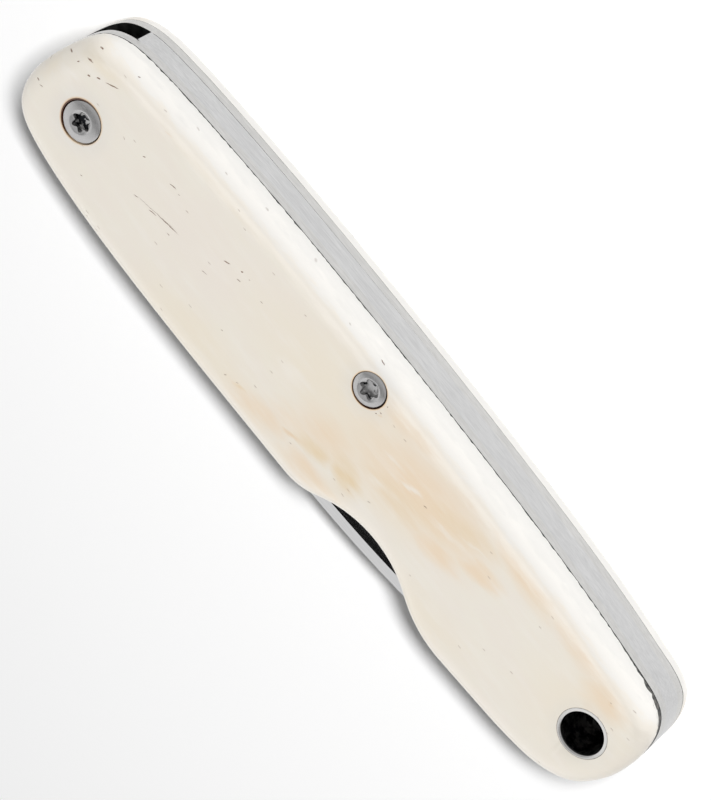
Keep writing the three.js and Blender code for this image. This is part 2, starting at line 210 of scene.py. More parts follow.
def moved_in(edge, inset):
    """A closed edge moved inwards, by one inset or by one for each point."""
    return edge - outward(edge) * np.broadcast_to(inset, len(edge))[:, None]


def circle(centre, radius, sides):
    """Closed counter-clockwise circle, or a wavy one where the radius has a value for each point."""
    angle = np.arange(sides) * 2 * math.pi / sides
    return np.column_stack((centre[0] + radius * np.cos(angle), centre[1] + radius * np.sin(angle)))


SHARP_FROM = math.radians(38)
WELD = 1e-7


class Blank:
    """A skin in the making, from rings of points that are bridged and capped."""

    def __init__(self, side=1):
        self.mesh = bmesh.new()
        self.side = side

    def ring(self, points, heights):
        """A closed ring at one height, or at one height for each point."""
        heights = np.broadcast_to(heights, len(points))
        return [self.mesh.verts.new(row_point(x, y, z * self.side)) for (x, y), z in zip(points, heights)]

    def point(self, x, y, z):
        """One point, in millimetres from the pivot."""
        return self.mesh.verts.new(row_point(x, y, z * self.side))

    def bridge(self, lower, upper, finish):
        """Faces between two closed rings, in one finish or in one for each face, with None for no face."""
        finishes = finish if isinstance(finish, list) else [finish] * len(lower)
        for here, face_finish in enumerate(finishes):
            if face_finish is not None:
                after = (here + 1) % len(lower)
                face = self.mesh.faces.new((lower[here], lower[after], upper[after], upper[here]))
                face.material_index = face_finish

    def bands(self, rings, finishes=()):
        """Bands from each ring to the next, in the first finish where none is given."""
        for step, (lower, upper) in enumerate(zip(rings, rings[1:])):
            self.bridge(lower, upper, finishes[step] if step < len(finishes) else 0)

    def fan(self, ring, tip):
        """Closes a ring with a fan about one point."""
        for here, vert in enumerate(ring):
            self.mesh.faces.new((vert, ring[(here + 1) % len(ring)], tip))

    def flat(self, outer, holes=()):
        """Fills a flat ring, leaving its holes open."""
        pairs = [(ring[here - 1], ring[here]) for ring in (outer, *holes) for here in range(len(ring))]
        edges = [self.mesh.edges.get(pair) or self.mesh.edges.new(pair) for pair in pairs]
        bmesh.ops.triangle_fill(self.mesh, use_beauty=True, use_dissolve=False, edges=edges)

    def turned(self, centre, profile, sides):
        """A closed lathe-turned form, from its lowest ring to its highest."""
        rings = [self.ring(circle(centre, radius, sides), height) for radius, height in profile]
        self.bands(rings)
        for ring in (rings[0], rings[-1]):
            self.fan(ring, self.mesh.verts.new(sum((vert.co for vert in ring), Vector()) / sides))

    def as_object(self, name, materials):
        """The blank as it is now, as an object."""
        bmesh.ops.recalc_face_normals(self.mesh, faces=self.mesh.faces)
        skin = bpy.data.meshes.new(name)
        self.mesh.to_mesh(skin)
        for material in materials:
            skin.materials.append(material)
        made = bpy.data.objects.new(name, skin)
        bpy.context.scene.collection.objects.link(made)
        return made

    def drill(self, drills, materials):
        """Takes drills, each a closed blank, out of this one."""
        work = self.as_object("work", materials)
        tools = [drill.as_object("drill", materials) for drill in drills]
        for tool in tools:
            cut = work.modifiers.new("cut", "BOOLEAN")
            cut.solver = "EXACT"
            cut.object = tool
        drilled = bpy.data.meshes.new_from_object(work.evaluated_get(bpy.context.evaluated_depsgraph_get()))
        self.mesh.clear()
        self.mesh.from_mesh(drilled)
        for loose in (work, *tools):
            skin = loose.data
            bpy.data.objects.remove(loose)
            bpy.data.meshes.remove(skin)
        bpy.data.meshes.remove(drilled)

    def finish(self, name, node, body, slot, *materials):
        """The finished piece, smooth but for its sharp edges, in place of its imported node."""
        bmesh.ops.remove_doubles(self.mesh, verts=self.mesh.verts, dist=WELD)
        bmesh.ops.recalc_face_normals(self.mesh, faces=self.mesh.faces)
        for face in self.mesh.faces:
            face.smooth = True
        for edge in self.mesh.edges:
            one_finish = len({face.material_index for face in edge.link_faces}) == 1
            edge.smooth = one_finish and (not edge.is_manifold or edge.calc_face_angle() < SHARP_FROM)
        piece = self.as_object(name, materials)
        self.mesh.free()
        shading = piece.modifiers.new("even_shading", "WEIGHTED_NORMAL")
        shading.keep_sharp = True
        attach(piece, body)
        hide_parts(node)
        return piece


# Bone scales: rounded outer edge, recesses for the screw heads, and the open line over the steel, coloured
# dark as painted shade of that gap
EDGE_ROUND_WIDTH = 2.6
EDGE_ROUND_DEPTH = 2.0
EDGE_ROUND_STEPS = 16
EDGE_EASE = 9
FLAT_MARGIN = 0.08
PIVOT_RECESS_FIT = 0.11
PIVOT_RECESS_SHIFT = 0.02
SPRING_RECESS_FIT = 0.08
SPRING_RECESS_SHIFT = 0.07
DRILL_CLEARANCE = 1.0
SHANK_BORE = 1.3
TUBE_FIT = 0.02
TUBE_BREAK = 0.03
HOLE_SIDES = 96
HOLE_BREAK_STEPS = 3
GAP_DEPTH = 0.04
GAP_LINE = 0.1
GAP_LEAST = 0.04
GAP_RAGGED = 0.2
GAP_AT_BUTT = 0.72
GAP_REAR_SHARE = 0.1
GAP_REAR_DEPTH = 0.01
GAP_CHIP_LENGTH = 0.55
GAP_SPLINTER_SHARE = 0.6
GAP_SPLINTERS = 3
GAP_BUTT_SETBACK = 1.5
GAP_BUTT_REACH = 5.0
GAP_SPINE_FROM = 0.5
GAP_SPINE_FADE = 2.5


def broken_edge_hole(radius, turn, top, bottom):
    """Wall of a hole from the flat round its softly broken rim down."""
    rim = [(radius + turn * (1 - math.sin(angle)), top - turn * (1 - math.cos(angle)))
           for angle in np.linspace(0, math.pi / 2, HOLE_BREAK_STEPS + 1)]
    return *rim, (radius, bottom)


def gap_line_height(edge, share):
    """Height of the open line between bone and steel at each point: ragged, most at the butt's spine corner.
    """
    heights = []
    for x, y in edge:
        splinters = GAP_SPLINTER_SHARE * noise.noise(Vector((y, x, share)) * GAP_SPLINTERS)
        chips = noise.noise(Vector((x, y, share)) / GAP_CHIP_LENGTH) + splinters
        at_butt = math.exp(-((x - BUTT_END + GAP_BUTT_SETBACK) / GAP_BUTT_REACH) ** 2)
        corner = at_butt * (0.5 + 0.5 * math.tanh((y - GAP_SPINE_FROM) / GAP_SPINE_FADE))
        height = share * (GAP_LINE + GAP_RAGGED * chips + (GAP_AT_BUTT + GAP_RAGGED * chips) * corner)
        heights.append(max(share * GAP_LEAST, height))
    return np.array(heights)


def eased_line(points, reach):
    """A closed line with each point at the mean of those about it."""
    return sum(np.roll(points, step - reach // 2, axis=0) for step in range(reach)) / reach


def drilled_faces(blank, rings, holes):
    """Caps a plate's lowest and highest ring round its holes, and lines the holes."""
    walls = []
    for centre, wall in holes:
        walls.append([blank.ring(circle(centre, radius, HOLE_SIDES), height) for radius, height in wall])
        blank.bands(walls[-1])
    blank.flat(rings[-1], [wall[0] for wall in walls])
    blank.flat(rings[0], [wall[-1] for wall in walls])


def bone_scale(label, side, head_seats, finish, gap_finish):
    """Bone scale with a rounded outer edge, two screw recesses and the lanyard tube's hole."""
    inside, outside = scale_low.z, scale_high.z
    blank = Blank(side)
    gap_line = gap_line_height(HANDLE_EDGE, 1.0 if side > 0 else GAP_REAR_SHARE)
    foot = moved_in(HANDLE_EDGE, GAP_DEPTH if side > 0 else GAP_REAR_DEPTH)
    face_edge = eased_line(moved_in(HANDLE_EDGE, EDGE_ROUND_WIDTH), EDGE_EASE)
    rings = [blank.ring(foot, inside), blank.ring(foot, inside + gap_line),
             blank.ring(HANDLE_EDGE, inside + gap_line + GAP_DEPTH / 2)]
    for step in range(EDGE_ROUND_STEPS + 1):
        turn = step / EDGE_ROUND_STEPS * math.pi / 2
        rings.append(blank.ring(HANDLE_EDGE + (face_edge - HANDLE_EDGE) * (1 - math.cos(turn)),
                                outside - EDGE_ROUND_DEPTH * (1 - math.sin(turn))))
    rings.append(blank.ring(eased_line(moved_in(face_edge, FLAT_MARGIN), EDGE_EASE), outside))
    # The two lowest bands form the open line, coloured as painted shade of the gap
    blank.bands(rings, [1, 1])
    tube_wall = broken_edge_hole(tube_high.y + TUBE_FIT, TUBE_BREAK, outside, inside)
    drilled_faces(blank, rings, [((TUBE_X, 0), tube_wall)])
    drills = []
    for centre, radius, seat in head_seats:
        stepped = ((SHANK_BORE, inside - DRILL_CLEARANCE), (SHANK_BORE, seat), (radius, seat),
                   (radius, outside + DRILL_CLEARANCE))
        drills.append(Blank(side))
        drills[-1].turned(centre, stepped, HOLE_SIDES)
    blank.drill(drills, (finish, gap_finish))
    return blank.finish(f"{label}_bone_scale", f"{label}_scale", "handle", "bone", finish, gap_finish)


STEEL_EDGE_BREAK = 0.03
SPRING_SEAM = 0.06
SEAM_FULL = 8.0
SEAM_FADE = 40.0
BARREL_FIT = 0.05


def steel_plate(name, node, slot, edge, low, high, side, finish, seam=0.0):
    """Flat steel piece, ground crisp along the spine and lightly broken elsewhere, with its holes drilled.

    A seam opens its lower edge toward the pivot, where it was ground a little less than the plate under it.
    """
    blank = Blank(side)
    broken = STEEL_EDGE_BREAK * (0.5 - outward(edge)[:, 1]).clip(0, 1)
    seams = np.maximum(broken, seam * (1 - (edge[:, 0] - SEAM_FULL) / SEAM_FADE).clip(0, 1))
    rings = [blank.ring(moved_in(edge, seams), low), blank.ring(edge, low + seams),
             blank.ring(edge, high - broken), blank.ring(moved_in(edge, broken), high)]
    blank.bands(rings)
    holes = [((SCREW_X, SCREW_Y), (spring_barrel_high.y - SCREW_Y + BARREL_FIT)),
             ((TUBE_X, 0), tube_high.y + TUBE_FIT)]
    if edge[:, 0].min() < spring_low.x:
        holes.append(((0, 0), pivot_barrel_high.y + BARREL_FIT))
    drilled_faces(blank, rings, [(centre, ((radius, high), (radius, low))) for centre, radius in holes])
    return blank.finish(name, node, "handle", slot, finish)


# Backspring, whose arm presses on the blade's tang
SPRING_PAD = 7.6
SPRING_PAD_RISE = 5.25
SPRING_ARM_DEPTH = 3.6
SPRING_BLOCK_LEAD = 6.0
SPRING_BLOCK_RISE = 4.9
SPRING_TAIL_WALL = 2.3
SPRING_RAMP = 4.0


def bent_line(*points):
    """Quadratic or cubic curve with its ends and middle points given."""
    share = np.linspace(0, 1, CURVE_STEPS + 1)[:, None]
    points = [np.array(point, float) for point in points]
    while len(points) > 1:
        points = [a * (1 - share) + b * share for a, b in zip(points, points[1:])]
    return points[0]


def spring_edge():
    """Edge of the backspring: the handle's spine and butt, then its underside from the pad to the tail."""
    spring_end, tail = spring_low.x, TUBE_X - tube_high.y - SPRING_TAIL_WALL
    on_spring = ((HANDLE_EDGE[:, 0] > spring_end) & (HANDLE_EDGE[:, 1] > 0)) | (HANDLE_EDGE[:, 0] > tail)
    start = np.flatnonzero(on_spring & ~np.roll(on_spring, 1))[0]
    back = np.roll(HANDLE_EDGE, -start, axis=0)[:on_spring.sum()]
    arm = SPINE - SPRING_ARM_DEPTH
    pad_end = SPRING_PAD + spring_end
    block = SCREW_X - SPRING_BLOCK_LEAD
    half = SPRING_RAMP / 2
    rise = SPRING_BLOCK_RISE
    return np.vstack((
        (tail, np.interp(tail, *back[:2].T)), back, (spring_end, back[-1, 1]),
        (spring_end, SPRING_PAD_RISE),
        bent_line((pad_end, SPRING_PAD_RISE), (pad_end + half, SPRING_PAD_RISE), (pad_end + half, arm),
                  (pad_end + SPRING_RAMP, arm)),
        bent_line((block - SPRING_RAMP, arm), (block - half, arm), (block - half, rise), (block, rise)),
        bent_line((tail - half, rise), (tail, rise), (tail, rise - half)),
    ))


# Blade: the sizes of its back, edge, grind and tang
TANG_FLAT = 5.2
TANG_CORNER = 2.0
KICK_LENGTH = 7.4
CHOIL_RADIUS = 0.9
SHOULDER = 2.7
BACK_DROP = 11.5
SHOULDER_DROP = 10.2
EDGE_RISE = 4.0
TIP_DROP = 7.6
BACK_RUN = 25.0
BACK_CURVE = 2.5
EDGE_CURVE = 2.2
BACK_STRIP = 1.35
PLUNGE_START = 12.0
PLUNGE_LENGTH = 3.5
EDGE_LAND = 0.6
EDGE_LAND_HALF = 0.22
EDGE_HALF = 0.02
STRIP_SHARE = 0.25
LAND_SHARE = 0.17
HOLLOW_BIAS = 0.9
TIP_HALF = 0.12
TIP_WIDENING = 0.22
TIP_LAND_SHARE = 0.6
TIP_THICKNESS_SHARE = 0.6
LAST_STATION = 0.999
PLUNGE_STATIONS = 18
GRIND_STATIONS = 90
GRIND_STEPS = 12
BACK_BREAK = 0.05
STRIP_POINTS = 2
RUNNING_GAP = 0.07


def eased(value):
    """Smooth rise from 0 to 1."""
    value = min(1.0, max(0.0, value))
    return value * value * (3 - 2 * value)


def toward_tip(x, start):
    """Share of the way from a start to the blade's tip."""
    return max(0.0, (x - start) / (blade_high.x - start))


def back_y(x):
    """Height of the closed blade's back."""
    drop = (BACK_DROP - SHOULDER_DROP) * eased((x - SHOULDER) / BACK_RUN)
    middle = (PIVOT_END + BUTT_END) / 2
    return -SHOULDER_DROP - drop + (BACK_DROP - TIP_DROP) * toward_tip(x, middle) ** BACK_CURVE


def edge_y(x):
    """Height of the closed blade's cutting edge."""
    return EDGE_RISE - (EDGE_RISE + TIP_DROP) * toward_tip(x, (BUTT_END - PIVOT_END) / 2) ** EDGE_CURVE


def blade_side(x):
    """Points of height and half thickness from the blade's back to its edge."""
    back, height = back_y(x), edge_y(x) - back_y(x)
    ground = eased((x - PLUNGE_START) / PLUNGE_LENGTH)
    taper = toward_tip(x, (BUTT_END - PIVOT_END) / 2) ** 2
    half = min(blade_high.z * (1 - (1 - TIP_THICKNESS_SHARE) * taper), TIP_HALF + TIP_WIDENING * height)
    land_half = min(EDGE_LAND_HALF, half * TIP_LAND_SHARE)
    strip = min(BACK_STRIP, height * STRIP_SHARE)
    land = min(EDGE_LAND, height * LAND_SHARE)
    turn = min(BACK_BREAK, strip / 3, half / 3)
    side = [(back, half - turn), (back + turn, half), (back + strip, half)]
    for step in range(1, GRIND_STEPS + 1):
        share = step / GRIND_STEPS
        hollow = (1 + HOLLOW_BIAS) * share - HOLLOW_BIAS * share ** 2
        thickness = half + (land_half - half) * hollow * ground
        side.append((back + strip + (height - strip - land) * share, thickness))
    near_edge = EDGE_HALF + (land_half - EDGE_HALF) * turn / land
    side.append((back + height - turn, half + (near_edge - half) * ground))
    side.append((back + height, half - turn + (EDGE_HALF - half + turn) * ground))
    return side


def tang_edge(root_rises):
    """Edge of the tang, through the points where it meets the ground part's first section."""
    inner = TANG_FLAT - TANG_CORNER
    choil = KICK_LENGTH + CHOIL_RADIUS
    back = [(x, back_y(x)) for x in np.linspace(SHOULDER, PLUNGE_START, CURVE_STEPS)[:-1]]
    return np.vstack((
        back, [(PLUNGE_START, rise) for rise in root_rises],
        arc((choil, EDGE_RISE), CHOIL_RADIUS, 0, math.pi),
        (KICK_LENGTH, TANG_FLAT - CHOIL_RADIUS / 2), (KICK_LENGTH - CHOIL_RADIUS / 2, TANG_FLAT),
        arc((-inner, inner), TANG_CORNER, math.pi / 2, math.pi),
        arc((-inner, -inner), TANG_CORNER, math.pi, 1.5 * math.pi),
        (SHOULDER, -TANG_FLAT),
    ))


def blade_tang(blank):
    """Flat tang with broken edges and the pivot's hole, open where the ground part meets it."""
    half = blade_high.z
    root = [rise for rise, _ in blade_side(PLUNGE_START)]
    edge = tang_edge([root[0], *root[2:-2], root[-1]])
    at_root = edge[:, 0] == PLUNGE_START
    slim = moved_in(edge, BACK_BREAK)
    slim[at_root] = np.column_stack((edge[at_root, 0], edge[at_root, 1].clip(root[1], root[-2])))
    rings = [blank.ring(slim, -half), blank.ring(edge, BACK_BREAK - half),
             blank.ring(edge, half - BACK_BREAK), blank.ring(slim, half)]
    open_root = [None if here and after else 0 for here, after in zip(at_root, np.roll(at_root, -1))]
    blank.bands(rings, [open_root] * len(rings))
    hole = circle((0, 0), pivot_barrel_high.y + RUNNING_GAP, HOLE_SIDES)
    walls = [blank.ring(hole, half), blank.ring(hole, -half)]
    blank.bands(walls)
    blank.flat(rings[3], [walls[0]])
    blank.flat(rings[0], [walls[1]])
    loose = [vert for vert in blank.mesh.verts if not vert.link_faces]
    bmesh.ops.delete(blank.mesh, geom=loose, context="VERTS")


def blade(satin, polished):
    """Drop-point blade: flat tang, satin strip along the back, hollow-ground bevels and a sharp edge."""
    blank = Blank()
    blade_tang(blank)
    plunge = np.linspace(PLUNGE_START, PLUNGE_START + PLUNGE_LENGTH, PLUNGE_STATIONS)
    share = np.sin(np.linspace(0, math.asin(LAST_STATION), GRIND_STATIONS + 1)[1:])
    rings = []
    for x in (*plunge, *(plunge[-1] + (blade_high.x - plunge[-1]) * share)):
        side = blade_side(x)
        loop = [*side, *((y, -z) for y, z in reversed(side))]
        rings.append([blank.point(x, y, z) for y, z in loop])
    around = len(rings[0])
    finishes = [int(STRIP_POINTS <= here < around - STRIP_POINTS - 1) for here in range(around)]
    blank.bands(rings, [finishes] * len(rings))
    blank.mesh.faces.new(rings[-1])
    return blank.finish("drop_point_blade", "blade", "blade", "blade_steel", satin, polished)


# Screws: domed head with a six-lobe recess, and a shank
HEAD_HEIGHT = 1.4
HEAD_DOME = 0.42
FRONT_HEAD_PROUD = 0.25
REAR_HEAD_SINK = 0.05
HEAD_GAP = 0.02
SHANK_RADIUS = 1.2
SHANK_LENGTH = 3.0
LOBES = 6
PIVOT_SCREW_TURN = 0.0
SPRING_SCREW_TURN = 12.0
LOBE_OUTER = 1.24
LOBE_INNER = 0.9
LOBE_DEPTH = 1.0
MOUTH_RADIUS = 1.34
MOUTH_DEPTH = 0.2
CORNER_BREAK = 0.05
HEAD_SIDES = 144
DOME_STEPS = 14


def screw(name, centre, head_radius, seat, side, tightened, finish):
    """Domed screw whose head fills its recess in the bone, its lobes turned as it was tightened."""
    blank = Blank(side)
    angle = np.arange(HEAD_SIDES) * 2 * math.pi / HEAD_SIDES
    wave = np.cos(LOBES * (angle - math.radians(tightened)))
    lobes = (LOBE_OUTER + LOBE_INNER) / 2 + (LOBE_OUTER - LOBE_INNER) / 2 * wave
    dome_base = HEAD_HEIGHT - HEAD_DOME
    edge_turn = math.acos((MOUTH_RADIUS + CORNER_BREAK) / head_radius)
    dome = [(head_radius * math.cos(turn), dome_base + HEAD_DOME * math.sin(turn))
            for turn in np.linspace(0, edge_turn, DOME_STEPS)]
    mouth_height = dome[-1][1] - CORNER_BREAK / 2
    floor = HEAD_HEIGHT - LOBE_DEPTH
    cone = mouth_height - MOUTH_DEPTH * (MOUTH_RADIUS - lobes) / (MOUTH_RADIUS - LOBE_INNER)
    profile = [
        (SHANK_RADIUS - CORNER_BREAK, -SHANK_LENGTH), (SHANK_RADIUS, CORNER_BREAK - SHANK_LENGTH),
        (SHANK_RADIUS, 0), (head_radius - CORNER_BREAK, 0), (head_radius, CORNER_BREAK),
        *dome, (MOUTH_RADIUS, mouth_height), (lobes + CORNER_BREAK / 2, cone),
        (lobes, cone - CORNER_BREAK / 2), (lobes, floor + CORNER_BREAK), (lobes - CORNER_BREAK, floor),
    ]
    rings = [blank.ring(circle(centre, radius, HEAD_SIDES), height + seat) for radius, height in profile]
    blank.bands(rings)
    blank.fan(rings[0], blank.point(*centre, seat - SHANK_LENGTH))
    blank.fan(rings[-1], blank.point(*centre, seat + floor - CORNER_BREAK))
    return blank.finish(f"{name}_head", name, "handle", "screw_steel", finish)


def turned_ring(name, node, slot, centre, profile, finish, side=1):
    """Ring turned on a lathe, from a closed profile of radius and height."""
    blank = Blank(side)
    rings = [blank.ring(circle(centre, radius, HOLE_SIDES), height) for radius, height in profile]
    blank.bands([*rings, rings[0]])
    return blank.finish(name, node, "handle", slot, finish)


TUBE_BORE = 2.65
TUBE_MOUTH = 0.05
TUBE_LIP = 0.02
WASHER_BORE = 2.07
RING_BREAK = 0.03


def lanyard_tube(finish):
    """Steel tube through the butt, flush with both scales, with a rolled lip at each mouth."""
    outer, top = tube_high.y, tube_high.z
    half = [(TUBE_BORE, 0), (TUBE_BORE, top - TUBE_MOUTH),
            (TUBE_BORE + TUBE_MOUTH / 3, top - TUBE_MOUTH / 3), (TUBE_BORE + TUBE_MOUTH, top),
            (outer - TUBE_LIP, top), (outer, top - TUBE_LIP)]
    profile = [*half, *((radius, -height) for radius, height in reversed(half[1:]))]
    return turned_ring("lanyard_tube_lip", "lanyard_tube", "tube_steel", (TUBE_X, 0), profile, finish)


def squared_ring(bore, outer, low, high):
    """Profile of a ring with lightly broken corners."""
    return ((bore, low), (outer - RING_BREAK, low), (outer, low + RING_BREAK), (outer, high - RING_BREAK),
            (outer - RING_BREAK, high), (bore, high))


# Noise seldom leaves the range from low to high
NOISE_LOW = 0.3
NOISE_HIGH = 0.7
# Share of the finest detail in crisp noise
CRISP_NOISE = 0.6
# How far a face leans to the knife's side where its painted dark shade begins and is full
SIDE_LEAN_FROM = 0.55
SIDE_LEAN_FULL = 0.8
# Share of a strewn pore's size that is fully dark
PORE_CORE = 0.4


def add(tree, kind, inputs=None, **settings):
    """A shader node with its settings, whose inputs are linked to sockets or set to values."""
    made = tree.nodes.new(f"ShaderNode{kind}")
    for name, value in settings.items():
        setattr(made, name, value)
    for name, value in (inputs or {}).items():
        if isinstance(value, bpy.types.NodeSocket):
            tree.links.new(value, made.inputs[name])
        else:
            made.inputs[name].default_value = value
    return made


def spaced(values):
    """Named values with spaces for the underscores in their names."""
    return {name.replace("_", " "): value for name, value in values.items()}


def reckon(tree, operation, first, second=0.0):
    """Result of one sum on two values."""
    return add(tree, "Math", {0: first, 1: second}, operation=operation).outputs[0]


def reckon_vector(tree, operation, first, second):
    """Result of one sum on two places."""
    return add(tree, "VectorMath", {0: first, 1: second}, operation=operation).outputs[0]


def length_of(tree, way):
    """How long a way is."""
    return add(tree, "VectorMath", {0: way}, operation="LENGTH").outputs["Value"]


def measure(tree, place, axis):
    """One measure of a place, along X, Y or Z."""
    return add(tree, "SeparateXYZ", {0: place}).outputs[axis]


def off_middle(tree, place):
    """How far a place is from the middle plane of the blade."""
    return reckon(tree, "ABSOLUTE", measure(tree, place, "Z"))


def mixed(tree, share, first, second):
    """Colour mixed from two by a share."""
    return add(tree, "Mix", {0: share, 6: first, 7: second}, data_type="RGBA").outputs[2]


def mixed_value(tree, share, first, second):
    """Value mixed from two by a share."""
    return add(tree, "Mix", {0: share, 2: first, 3: second}, data_type="FLOAT").outputs[0]


def fade(tree, value, start, end, first=0.0, last=1.0):
    """Smooth change from a first to a last value while the value goes from start to end."""
    return add(tree, "MapRange", {"Value": value, "From Min": start, "From Max": end, "To Min": first,
                                  "To Max": last}, interpolation_type="SMOOTHSTEP").outputs["Result"]


def drawn_out(tree, pattern, first=0.0, last=1.0):
    """A noisy pattern drawn out from a first to a last value."""
    return fade(tree, pattern, NOISE_LOW, NOISE_HIGH, first, last)


def cloud(tree, place, scale, detail=2.0, roughness=0.5, output="Fac"):
    """Soft noise of a number of clouds per millimetre."""
    return add(tree, "TexNoise", {"Vector": place, "Scale": scale, "Detail": detail, "Roughness": roughness},
               noise_dimensions="3D").outputs[output]


def effect(name, inputs, output="Mask", kind="NodeSocketFloat"):
    """An empty effect with named inputs and one output, as its tree, its inputs and its output's socket."""
    tree = bpy.data.node_groups.new(name, "ShaderNodeTree")
    for label, value in inputs.items():
        taken = "NodeSocketVector" if isinstance(value, tuple) else "NodeSocketFloat"
        tree.interface.new_socket(label, in_out="INPUT", socket_type=taken).default_value = value
    tree.interface.new_socket(output, in_out="OUTPUT", socket_type=kind)
    return tree, tree.nodes.new("NodeGroupInput").outputs, tree.nodes.new("NodeGroupOutput").inputs[output]


def placed(tree, group, **values):
    """What one use of an effect puts out. Underscores in a value's name stand for spaces."""
    return add(tree, "Group", spaced(values), node_tree=group).outputs[0]


def knife_place_effect():
    """Place on the knife in millimetres from the pivot, so that a pattern's sizes are real ones."""
    tree, _, out = effect("knife_place", {}, "Place", "NodeSocketVector")
    own = add(tree, "TexCoord").outputs["Object"]
    from_pivot = reckon_vector(tree, "SUBTRACT", own, tuple(PIVOT))
    place = add(tree, "VectorMath", {0: from_pivot, "Scale": 1 / MM}, operation="SCALE").outputs[0]
    tree.links.new(place, out)
    return tree


def lengthwise_effect():
    """Streaks that run along the knife, as a value about a half."""
    tree, given, out = effect("lengthwise_streaks", {"Place": (0.0, 0.0, 0.0), "Per Millimetre": 2.0,
                                                     "Length": 10.0, "Detail": 3.0}, "Streaks")
    along = reckon(tree, "DIVIDE", 1.0, given["Length"])
    across = given["Per Millimetre"]
    stretch = add(tree, "CombineXYZ", {0: along, 1: across, 2: across}).outputs[0]
    place = reckon_vector(tree, "MULTIPLY", given["Place"], stretch)
    tree.links.new(cloud(tree, place, scale=1.0, detail=given["Detail"], roughness=CRISP_NOISE), out)
    return tree


def from_middle(tree, given):
    """Way from a mark's middle to the place, along the knife's side."""
    middle = add(tree, "CombineXYZ", {0: given["X"], 1: given["Y"]}).outputs[0]
    way = reckon_vector(tree, "SUBTRACT", given["Place"], middle)
    return reckon_vector(tree, "MULTIPLY", way, (1, 1, 0))


def mark_effect():
    """One oval mark on a side of the knife: a small sharp pore, or a wide soft stain."""
    tree, given, out = effect("oval_mark", {"Place": (0.0, 0.0, 0.0), "X": 0.0, "Y": 0.0, "Half Length": 1.0,
                                            "Half Width": 0.1, "Turn": 0.0, "Softness": 0.5})
    back = reckon(tree, "MULTIPLY", given["Turn"], -1.0)
    turned = add(tree, "VectorRotate", {"Vector": from_middle(tree, given), "Angle": back},
                 rotation_type="Z_AXIS").outputs[0]
    halves = add(tree, "CombineXYZ", {0: given["Half Length"], 1: given["Half Width"], 2: 1.0}).outputs[0]
    reach = length_of(tree, reckon_vector(tree, "DIVIDE", turned, halves))
    inner = reckon(tree, "SUBTRACT", 1.0, given["Softness"])
    tree.links.new(fade(tree, reach, inner, 1.0, 1.0, 0.0), out)
    return tree


def scattered_effect():
    """Small pores strewn over the bone, each longer along the knife than across it."""
    tree, given, out = effect("scattered_pores", {"Place": (0.0, 0.0, 0.0), "Cell Length": 3.0,
                                                  "Cell Width": 0.8, "Share": 0.1, "Size": 0.2})
    cell = add(tree, "CombineXYZ", {0: given["Cell Length"], 1: given["Cell Width"], 2: 1.0}).outputs[0]
    place = reckon_vector(tree, "DIVIDE", given["Place"], cell)
    cells = add(tree, "TexVoronoi", {"Vector": place, "Scale": 1.0, "Randomness": 1.0},
                voronoi_dimensions="2D")
    chance = add(tree, "SeparateColor", {0: cells.outputs["Color"]}).outputs[0]
    chosen = reckon(tree, "LESS_THAN", chance, given["Share"])
    inner = reckon(tree, "MULTIPLY", given["Size"], PORE_CORE)
    near = fade(tree, cells.outputs["Distance"], inner, given["Size"], 1.0, 0.0)
    tree.links.new(reckon(tree, "MULTIPLY", near, chosen), out)
    return tree


def round_hole_effect():
    """Ring about a hole's axis: full from its wall outwards to nothing over the reach."""
    tree, given, out = effect("round_hole", {"Place": (0.0, 0.0, 0.0), "X": 0.0, "Y": 0.0, "Radius": 1.0,
                                             "Reach": 0.3})
    distance = length_of(tree, from_middle(tree, given))
    far = reckon(tree, "ADD", given["Radius"], given["Reach"])
    tree.links.new(fade(tree, distance, given["Radius"], far, 1.0, 0.0), out)
    return tree


def side_face_effect():
    """Full on faces that lie flat to the knife's sides, nothing on its edges and back."""
    tree, _, out = effect("side_faces", {})
    lean = off_middle(tree, add(tree, "TexCoord").outputs["Normal"])
    tree.links.new(fade(tree, lean, SIDE_LEAN_FROM, SIDE_LEAN_FULL), out)
    return tree


KNIFE_PLACE = knife_place_effect()
STREAKS = lengthwise_effect()
OVAL_MARK = mark_effect()
SCATTERED_PORES = scattered_effect()
ROUND_HOLE = round_hole_effect()
SIDE_FACES = side_face_effect()


def empty_tree(owner):
    """The bare node tree of a material or a world."""
    owner.use_nodes = True
    owner.node_tree.nodes.clear()
    return owner.node_tree


def new_material(name, **uniform):
    """A material, its tree and its patterns' place. Uniform values sit on its shader's own sockets."""
    material = bpy.data.materials.new(name)
    tree = empty_tree(material)
    shader = add(tree, "BsdfPrincipled", spaced(uniform), name="shader")
    tree.links.new(shader.outputs[0], add(tree, "OutputMaterial").inputs["Surface"])
    return material, tree, placed(tree, KNIFE_PLACE)


def finished(material, colour, roughness, height, depth):
    """The material with its colour, its roughness, and a height in shares of a depth in millimetres."""
    tree = material.node_tree
    bump = add(tree, "Bump", {"Height": height, "Distance": depth * MM, "Strength": 1.0}).outputs[0]
    for made, label in ((colour, "Base Color"), (roughness, "Roughness"), (bump, "Normal")):
        tree.links.new(made, tree.nodes["shader"].inputs[label])
    return material


def two_toned(material, pattern, tones, roughness, depth, start=NOISE_LOW):
    """The material with two tones, two roughnesses and a height that all follow one pattern."""
    tree = material.node_tree
    colour = mixed(tree, fade(tree, pattern, start, NOISE_HIGH), *tones)
    return finished(material, colour, drawn_out(tree, pattern, *roughness), pattern, depth)


